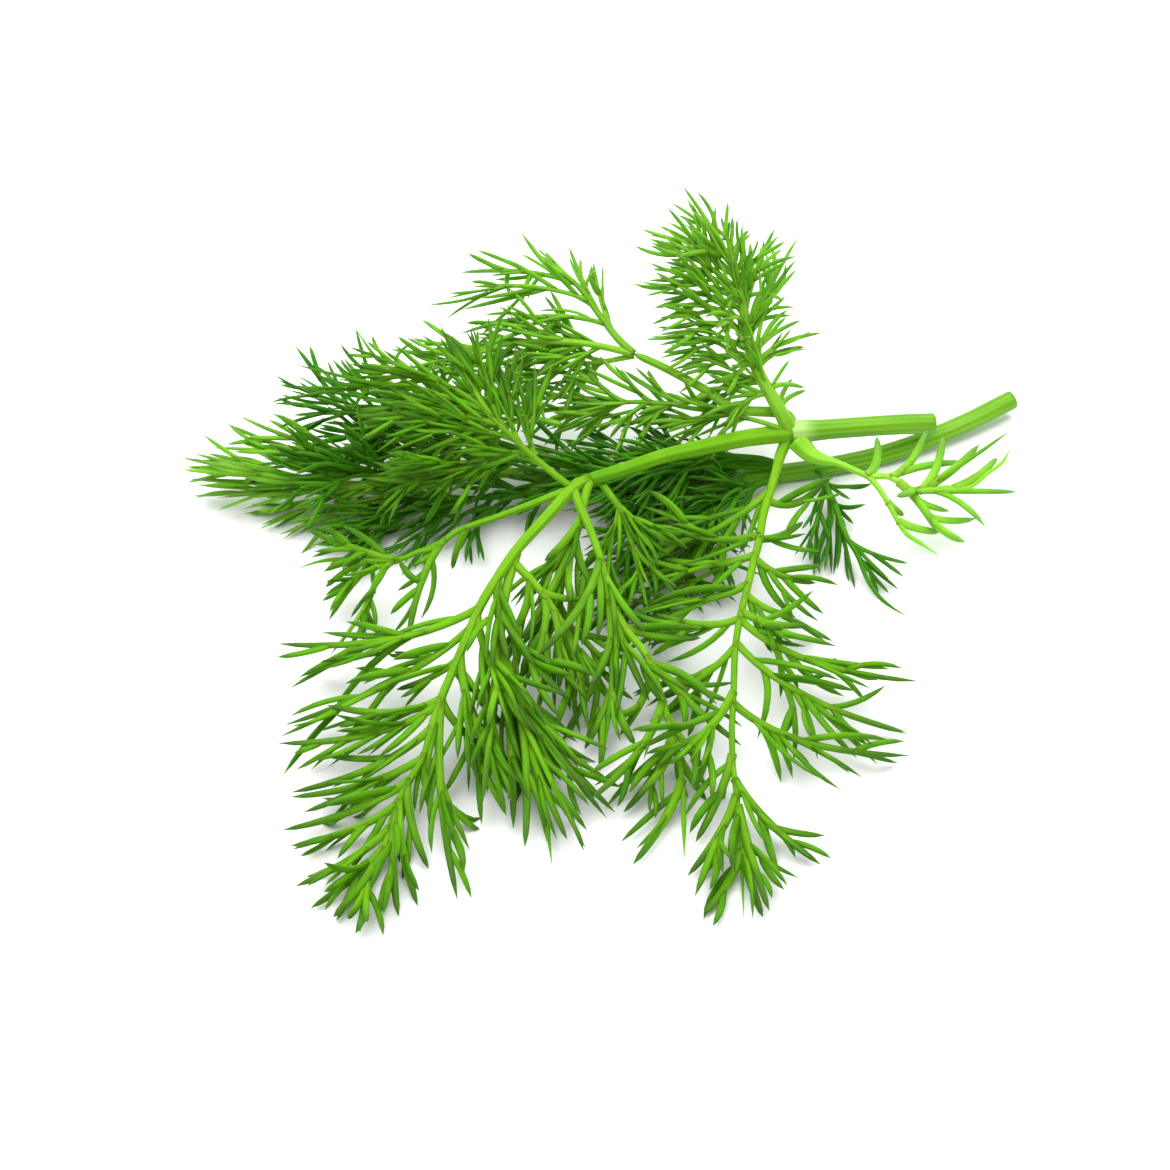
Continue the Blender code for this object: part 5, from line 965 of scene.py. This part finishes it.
print("faces of two tubes of 3 stations and 6 sides:", len(tube_faces(2, 3, 6)[1]))

# %% [markdown]
# ## From arrays to a mesh
# A mesh wants three flat lists: the points, the corners of all faces one after another, and the number of
# corners of each face. Numpy writes them all at once. Faces are shaded smooth, since a thread has no edges.
# Each finished piece rides the bunch's one body and takes the place of the plain solid that it covers.

# %% Meshes
pieces = {}


def put_mesh(name, groups):
    """One mesh in metres from groups of points, skin, growth, corners and sizes, each numbered from 0."""
    before = np.cumsum([0] + [len(group[0]) for group in groups])
    points, skin_at, growth_at = (np.concatenate([group[part] for group in groups]) for part in range(3))
    corners = np.concatenate([group[3] + first for group, first in zip(groups, before)])
    sizes = np.concatenate([group[4] for group in groups])
    mesh = bpy.data.meshes.new(name)
    mesh.vertices.add(len(points))
    mesh.vertices.foreach_set("co", (points * MM).ravel())
    mesh.loops.add(len(corners))
    mesh.loops.foreach_set("vertex_index", corners)
    mesh.polygons.add(len(sizes))
    mesh.polygons.foreach_set("loop_start", np.cumsum(sizes) - sizes)
    mesh.polygons.foreach_set("use_smooth", np.ones(len(sizes), bool))
    for title, values in (("skin", skin_at), ("growth", growth_at)):
        layer = mesh.attributes.new(title, "FLOAT_VECTOR", "POINT")
        layer.data.foreach_set("vector", values.astype(np.float32).ravel())
    mesh.update(calc_edges=True)
    mesh.validate()
    piece = bpy.data.objects.new(name, mesh)
    bpy.context.scene.collection.objects.link(piece)
    return piece


def fit_piece(node, piece):
    """The piece in place of the node's plain solid."""
    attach(piece, "root")
    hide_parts(node)
    pieces[node] = piece
    print(node, sum(len(face.vertices) - 2 for face in piece.data.polygons), "triangles")


# %% [markdown]
# ## Curl and breadth
# No thread of a living leaf is straight, nor are two of them equally broad. So each is bent a little aside
# and up or down by a random draw, more towards its tip, and some styles curl more than others. Its breadth
# is drawn as well.

# %% Curl and breadth
CURLS = {"combed": 0.11, "open": 0.11, "free": 0.08, "curly": 0.17,
         "tufted": 0.15, "fine": 0.17, "tail": 0.1}
SLENDER = {"combed": 0.92, "open": 0.92, "tail": 0.92}
# For each order: how far the breadths of its shoots are spread, by a draw from LEAST to MOST.
BREADTHS = (0.0, 0.08, 0.18, 0.2, 0.25)
LEAST, MOST = -1, 0.6
ASIDE, UPWARD = 1, 0.7
tones = np.random.default_rng(21)


def by_style(shoots, table, missing):
    """The table's value for the style of each shoot, as a column."""
    return np.array([table.get(shoot.style, missing) for shoot in shoots])[:, None]


def curled(lines, facing, shares):
    """line + share * (a * (reach x facing) + b * |reach| * facing) * t^2, with reach from root to tip, t
    from 0 at the root to 1 at the tip, and a and b drawn for each thread."""
    along = np.linspace(0, 1, lines.shape[1])[None, :, None]
    reach = (lines[:, -1] - lines[:, 0])[:, None]
    aside = tones.normal(0, ASIDE, (len(lines), 1, 1)) * np.cross(reach, facing[:, None])
    far = np.linalg.norm(reach, axis=2, keepdims=True)
    upward = tones.normal(0, UPWARD, (len(lines), 1, 1)) * far * facing[:, None]
    return lines + shares[:, None] * (aside + upward) * along ** 2


print("curl of each style:", CURLS)

# %% [markdown]
# ## The finished fronds
# One piece for each frond. The stalks are lime green, the pinnae fade from lime to leaf green, and the
# lobes are leaf green to their dark tips. Each shoot also gets a tone of its own, since no two threads on
# a plant have quite the same green. The fine style's tone is darker as well, which is painted shade for the
# threads deep in the bunch.

# %% Frond pieces
# For each order: points round, ribs, how deep they are, and the lime share at the root and at the tip.
AROUND = (30, 8, 6, 6, 6)
RIBS, RIB_DEPTH = (6, 0, 0, 0, 0), (0.07, 0, 0, 0, 0)
LIME = (0.9, 0.1), (0.5, 0.05), (0.22, 0.0), (0.15, 0.0), (0.1, 0.0)
# For each style: how much of that lime its shoots get, and how much lighter or darker they are.
STALKS = {"combed": 0.7, "open": 0.8, "free": 0.8, "curly": 0.55, "tufted": 0.6, "fine": 0.5, "tail": 0.9}
# The fine style's darker tone is painted shade, for the threads deep in the bunch.
TONES = {"open": 0.4, "free": 0.3, "curly": 0.2, "tufted": 0.6, "fine": -0.5, "tail": 1.4}
PETIOLE_LIME, PLAIN_TONE, TONE_SPREAD = 0.6, 0.0, 1.5
SHEATH_LIME = 0.25
PATTERN_SHIFT = 40
LOWEST = 0.02


def frond_group(shoots, order):
    """All shoots of one order: points, skin (across, above, along), growth (lime, tip, tone) and faces."""
    lines, widths, facing = (np.stack([getattr(shoot, part) for shoot in shoots])
                             for part in ("line", "widths", "facing"))
    is_thread = order > 1
    lines = curled(lines, facing, by_style(shoots, CURLS, 0.0) * is_thread)
    widths = widths * (1 + BREADTHS[order] * tones.uniform(LEAST, MOST, (len(shoots), 1)))
    widths = widths * (by_style(shoots, SLENDER, 1.0) if is_thread else 1.0)
    lines[..., 2] = np.maximum(lines[..., 2], THIN[order] * widths)
    points, turn = skin(lines, widths, THIN[order], facing, AROUND[order], RIBS[order], RIB_DEPTH[order])
    points[..., 2] = np.maximum(points[..., 2], LOWEST)

    along = np.linspace(0, 1, lines.shape[1])[None, :, None]
    length = np.linalg.norm(np.diff(lines, axis=1), axis=2).sum(axis=1)[:, None, None]
    # A tone drawn for each shoot on top of its style's; the fine style's darker tone is painted shade.
    tone = by_style(shoots, TONES, PLAIN_TONE) + tones.normal(0, TONE_SPREAD, len(shoots))[:, None]
    tone = tone[..., None]
    sheaths = np.array([shoot.sheath for shoot in shoots])[:, None, None]
    lime = by_style(shoots, STALKS, PETIOLE_LIME)[..., None] * np.interp(along, (0, 1), LIME[order])
    lime = lime * (SHEATH_LIME + (1 - SHEATH_LIME) * np.clip(along / sheaths, 0, 1))
    whole = points.shape[:3]
    skin_at = at_points(whole, np.cos(turn), np.sin(turn), along * length + PATTERN_SHIFT * tone)
    growth_at = at_points(whole, lime, along * (order > 0), tone)
    return [points.reshape(-1, 3), skin_at, growth_at, *tube_faces(*whole)]


# The deep finish is painted shade: a darker copy of leaf green for the leaves underneath and the one that
# droops to the table.
SLOTS = {"frond_right": "leaf_bright", "frond_left_end": "leaf_bright", "frond_right_low": "leaf_deep",
         "frond_left_back": "leaf_deep", "frond_left_low": "leaf_deep", "frond_middle": "leaf_deep",
         "frond_under": "leaf_deep"}
for node in FRONDS:
    drawn = growth.drawn[node]
    groups = [frond_group([shoot for shoot in drawn if shoot.order == order], order)
              for order in sorted({shoot.order for shoot in drawn})]
    fit_piece(node, put_mesh("threads_of_" + node, groups))

# %% [markdown]
# ## The stems
# A young dill stem is full of white pith, with fine ribs and a waxy skin. It is the same kind of surface as
# a shoot, a ring carried along a line, but with far more points round, so that the ribs are real. The first
# few rings lie in the cut face itself: they draw in to its middle, over the darker rim, the pale green
# flesh and the white pith. The last few rings close the far end into a round knob, which is pale on the
# short stem, as a node is.

# %% Stem pieces
STEM_AROUND, RING_STEP = 84, 0.8
STEM_RIBS, STEM_RIB_DEPTH = 11, 0.016
CLOSING_RINGS = 6
# The cut face's rings: their share of the stem's radius, and how deep they lie in it in millimetres.
CUT_RINGS = np.array((0.04, 0.25, 0.5, 0.72, 0.86, 0.95))
CUT_DEPTHS = np.array((0.25, 0.22, 0.12, 0.0, 0.0, 0.02))
# The share of the stem where it turns pale, and over how much of it. The long stem has no such end.
PALE_FROM, PALE_OVER = {"stem_short": 0.8, "stem_long": 2.0}, 0.1


def stem_group(points, radii, pale_from):
    """A stem as a ring carried along its line, with the cut face's rings in front: ring c has the radius of
    the stem's end times its share, and lies its depth inside the end."""
    fine = smooth_line(points) - ORIGIN
    count = round(length_of(fine) / RING_STEP) + 1
    line = evenly(fine, count)
    tangents = unit(np.gradient(line, axis=0))
    radius = np.interp(np.linspace(0, 1, count), np.linspace(0, 1, len(radii)), radii)
    radius[-CLOSING_RINGS:] *= np.sqrt(np.clip(1 - np.linspace(0, 1, CLOSING_RINGS) ** 2, 0.002, 1))
    line = np.concatenate([line[0] + CUT_DEPTHS[:, None] * tangents[0], line])
    tangents = np.concatenate([np.repeat(tangents[:1], len(CUT_RINGS), axis=0), tangents])
    radius = np.concatenate([CUT_RINGS * radius[0], radius])

    turn = np.linspace(0, 2 * math.pi, STEM_AROUND, endpoint=False)
    rib = np.cos(STEM_RIBS * turn)
    sideways = unit(np.cross(tangents, (0, 0, 1.0)))[:, None]
    upward = np.cross(sideways, tangents[:, None])
    reach = (radius[:, None] * (1 + STEM_RIB_DEPTH * rib))[..., None]
    points = line[:, None] + reach * (np.cos(turn)[:, None] * sideways + np.sin(turn)[:, None] * upward)
    points[..., 2] = np.maximum(points[..., 2], 0)

    along = np.concatenate([np.zeros(len(CUT_RINGS)), np.linspace(0, 1, count)])[:, None]
    pith = np.concatenate([1 - CUT_RINGS, np.zeros(count)])[:, None]
    pale = np.clip((along - pale_from) / PALE_OVER, 0, 1)
    whole = points.shape[:2]
    skin_at = at_points(whole, np.cos(turn), np.sin(turn), along * length_of(fine))
    growth_at = at_points(whole, rib, pith, pale)
    return [points.reshape(-1, 3), skin_at, growth_at, *tube_faces(1, *whole)]


for node, (points, radii) in STEMS.items():
    fit_piece(node, put_mesh("skin_of_" + node, [stem_group(points, radii, PALE_FROM[node])]))

# %% [markdown]
# ## Finishes
# Leaf tissue is green all through, a little waxy, and lets some light into it. So each finish is one
# Principled shader with light under the skin, a base colour that reads how the tissue grew and, on the
# leaves, a tone that is partly painted shade, and a fine bump of veins that run along the thread.

# %% Helpers for finishes
def add_node(tree, kind, settings=None, **inputs):
    """A shader node with its settings and inputs. An input is a value, or another node's output, and its
    name is the socket's, with _ for a space, or i and the socket's number."""
    made = tree.nodes.new(kind)
    for name, value in (settings or {}).items():
        setattr(made, name, value)
    for name, value in inputs.items():
        socket = made.inputs[int(name[1:]) if name[1:].isdigit() else name.replace("_", " ")]
        if isinstance(value, bpy.types.NodeSocket):
            tree.links.new(value, socket)
        else:
            socket.default_value = value
    return made


def blend(tree, factor, first, second):
    """Two colours mixed by a factor."""
    settings = {"data_type": "RGBA", "blend_type": "MIX"}
    return add_node(tree, "ShaderNodeMix", settings, i0=factor, i6=first, i7=second).outputs[2]


def rescaled(tree, value, low, high, to_low=0.0, to_high=1.0):
    """The value, with low to high stretched to to_low to to_high and held there beyond."""
    made = add_node(tree, "ShaderNodeMapRange", None, i0=value, i1=low, i2=high, i3=to_low, i4=to_high)
    return made.outputs[0]


def noise(tree, place, scale, detail=3.0):
    return add_node(tree, "ShaderNodeTexNoise", None, Vector=place, Scale=scale, Detail=detail).outputs[0]


def stretched(tree, place, scale):
    """The place with each of its three numbers multiplied, which draws a pattern out along a thread."""
    return add_node(tree, "ShaderNodeMapping", None, Vector=place, Scale=scale).outputs[0]


def new_finish(name):
    """An empty finish: its tree, its shader, the skin vector and the three numbers of the growth vector."""
    finish = bpy.data.materials.new(name)
    finish.use_nodes = True
    tree = finish.node_tree
    shader = tree.nodes["Principled BSDF"]
    skin_at = add_node(tree, "ShaderNodeAttribute", {"attribute_name": "skin"}).outputs["Vector"]
    grown = add_node(tree, "ShaderNodeAttribute", {"attribute_name": "growth"}).outputs["Vector"]
    parts = add_node(tree, "ShaderNodeSeparateXYZ", None, Vector=grown).outputs
    return finish, tree, shader, skin_at, parts


def give(shader, **values):
    for name, value in values.items():
        shader.inputs[name.replace("_", " ")].default_value = value


def bump(tree, shader, height, strength, distance):
    made = add_node(tree, "ShaderNodeBump", None, Height=height, Strength=strength, Distance=distance)
    tree.links.new(made.outputs[0], shader.inputs["Normal"])


print("helpers ready")

# %% [markdown]
# ## Leaf green
# A thread is darker or lighter by a tone of its own, drawn at random and set by its style, with fine
# streaks along it, lime near its stalk, and a dull olive tip where it starts to dry. The fine style's darker
# tone is painted shade. Four greens serve the whole bunch: one for the front, a lighter one that is painted
# light for what stands up in the light, a darker one that is painted shade for the leaves underneath, and a
# bright young one.

# %% Leaf finishes
def leaf_finish(name, leaf, dark, lime, tip):
    """Leaf green to dark green in streaks, lime where the tissue is stalk, olive at the tips."""
    finish, tree, shader, skin_at, (lime_share, tip_share, tone) = new_finish(name)
    leaf, dark, lime, tip = ((*color, 1) for color in (leaf, dark, lime, tip))
    streaks = noise(tree, stretched(tree, skin_at, (2.2, 2.2, 0.16)), 1.0)
    patches = noise(tree, skin_at, 0.12, 2.0)
    # The dark end of this blend is partly painted shade, from the fine style's darker tone.
    shade = rescaled(tree, tone, -1.8, 2.0)
    color = blend(tree, shade, dark, leaf)
    color = blend(tree, rescaled(tree, streaks, 0.35, 0.75, 0.0, 0.5), color, blend(tree, 0.45, leaf, lime))
    color = blend(tree, rescaled(tree, patches, 0.45, 0.75, 0.0, 0.4), color, lime)
    color = blend(tree, lime_share, color, lime)
    color = blend(tree, rescaled(tree, tip_share, 0.6, 1.0, 0.0, 0.9), color, tip)
    tree.links.new(color, shader.inputs["Base Color"])
    bump(tree, shader, streaks, 0.35, 0.0003)
    give(shader, Roughness=0.5, Specular_IOR_Level=0.08)
    give(shader, Subsurface_Weight=0.5, Subsurface_Radius=(0.5, 1.0, 0.15), Subsurface_Scale=0.0016)
    return finish


# For each: leaf green, dark green, lime and tip, in linear red, green and blue.
# The second green is a lighter copy of leaf green, painted light, and the third a darker copy, painted shade.
GREENS = {
    "leaf": ((0.08, 0.27, 0.003), (0.012, 0.1, 0.001), (0.2, 0.44, 0.01), (0.04, 0.085, 0.012)),
    "leaf_lit": ((0.13, 0.36, 0.013), (0.045, 0.2, 0.003), (0.26, 0.52, 0.035), (0.1, 0.19, 0.035)),
    "leaf_deep": ((0.03, 0.17, 0.002), (0.01, 0.08, 0.001), (0.09, 0.3, 0.006), (0.06, 0.13, 0.02)),
    "leaf_bright": ((0.17, 0.44, 0.018), (0.06, 0.26, 0.004), (0.3, 0.6, 0.05), (0.13, 0.25, 0.05)),
}
finishes = {name: leaf_finish("dill_" + name, *greens) for name, greens in GREENS.items()}
print("leaf finishes:", ", ".join(finishes))

# %% [markdown]
# ## Stem green
# The ribs of a stem are lime and the grooves between them green. The skin is waxy, so it shines more than
# the leaves do. The node at the short stem's end is pale, and the cut shows flesh and white pith.

# %% Stem finish
GROOVE, RIB, STREAK = (0.1, 0.3, 0.003, 1), (0.17, 0.41, 0.007, 1), (0.25, 0.5, 0.018, 1)
PATCH, PALE = (0.08, 0.26, 0.003, 1), (0.46, 0.68, 0.2, 1)
FLESH, PITH = (0.36, 0.6, 0.1, 1), (0.75, 0.85, 0.5, 1)


def stem_finish(name):
    """Lime ribs with green grooves between them, pale at the node; on the cut, flesh and white pith."""
    finish, tree, shader, skin_at, (rib, pith, pale) = new_finish(name)
    streaks = noise(tree, stretched(tree, skin_at, (3.0, 3.0, 0.05)), 1.0)
    patches = noise(tree, stretched(tree, skin_at, (1.0, 1.0, 0.08)), 1.0)
    color = blend(tree, rescaled(tree, rib, -0.9, 0.9), GROOVE, RIB)
    color = blend(tree, rescaled(tree, streaks, 0.4, 0.75, 0.0, 0.4), color, STREAK)
    color = blend(tree, rescaled(tree, patches, 0.35, 0.75, 0.0, 0.6), color, PATCH)
    color = blend(tree, rescaled(tree, pale, 0.0, 1.0, 0.0, 0.7), color, PALE)
    color = blend(tree, rescaled(tree, pith, 0.02, 0.3), color, FLESH)
    color = blend(tree, rescaled(tree, pith, 0.35, 0.6), color, PITH)
    tree.links.new(color, shader.inputs["Base Color"])
    bump(tree, shader, streaks, 0.3, 0.0003)
    give(shader, Roughness=0.35, Specular_IOR_Level=0.25)
    give(shader, Subsurface_Weight=0.2, Subsurface_Radius=(0.6, 1.0, 0.2), Subsurface_Scale=0.0015)
    return finish


finishes["stem"] = stem_finish("dill_stem")
# These fronds stand up in the light and get the lighter copy of leaf green: painted light.
LIGHT = "frond_left_end", "frond_upright", "frond_back_left"
for node, piece in pieces.items():
    slot = "stem" if node in STEMS else SLOTS.get(node, "leaf")
    piece.data.materials.append(finishes["leaf_lit" if node in LIGHT else slot])
print("finishes:", ", ".join(finish.name for finish in finishes.values()))

# %% [markdown]
# ## Table and light
# The bunch lies on a plain white table in a light tent: light comes from all round, with one large soft
# lamp above and behind, so the shadow is faint and falls a little forward.

# %% Table and light
TABLE_REACH = 3
TENT_LIGHT = 0.84
LAMP_PLACE, LAMP_SIZE, LAMP_POWER = (-0.25, 0.3, 1.0), 1.4, 21.0

corners = [(x * TABLE_REACH, y * TABLE_REACH, 0) for x, y in ((-1, -1), (1, -1), (1, 1), (-1, 1))]
floor_mesh = bpy.data.meshes.new("table")
floor_mesh.from_pydata(corners, [], [(0, 1, 2, 3)])
floor = bpy.data.objects.new("table", floor_mesh)
bpy.context.scene.collection.objects.link(floor)
table_finish = bpy.data.materials.new("white_table")
table_finish.use_nodes = True
give(table_finish.node_tree.nodes["Principled BSDF"], Base_Color=(0.9, 0.9, 0.9, 1), Roughness=0.8)
floor_mesh.materials.append(table_finish)

world = bpy.data.worlds.new("light_tent")
world.use_nodes = True
give(world.node_tree.nodes["Background"], Strength=TENT_LIGHT, Color=(1, 1, 1, 1))
bpy.context.scene.world = world

lamp_data = bpy.data.lights.new("key", "AREA")
lamp_data.size = LAMP_SIZE
lamp_data.energy = LAMP_POWER
lamp = bpy.data.objects.new("key", lamp_data)
lamp.location = LAMP_PLACE
aim = LOOKS_AT - np.array(LAMP_PLACE)
lamp.rotation_euler = (math.atan2(math.hypot(aim[0], aim[1]), -aim[2]), 0, math.atan2(aim[0], -aim[1]))
bpy.context.scene.collection.objects.link(lamp)
bpy.context.scene.view_settings.view_transform = "Standard"
print("table, light tent and one lamp")
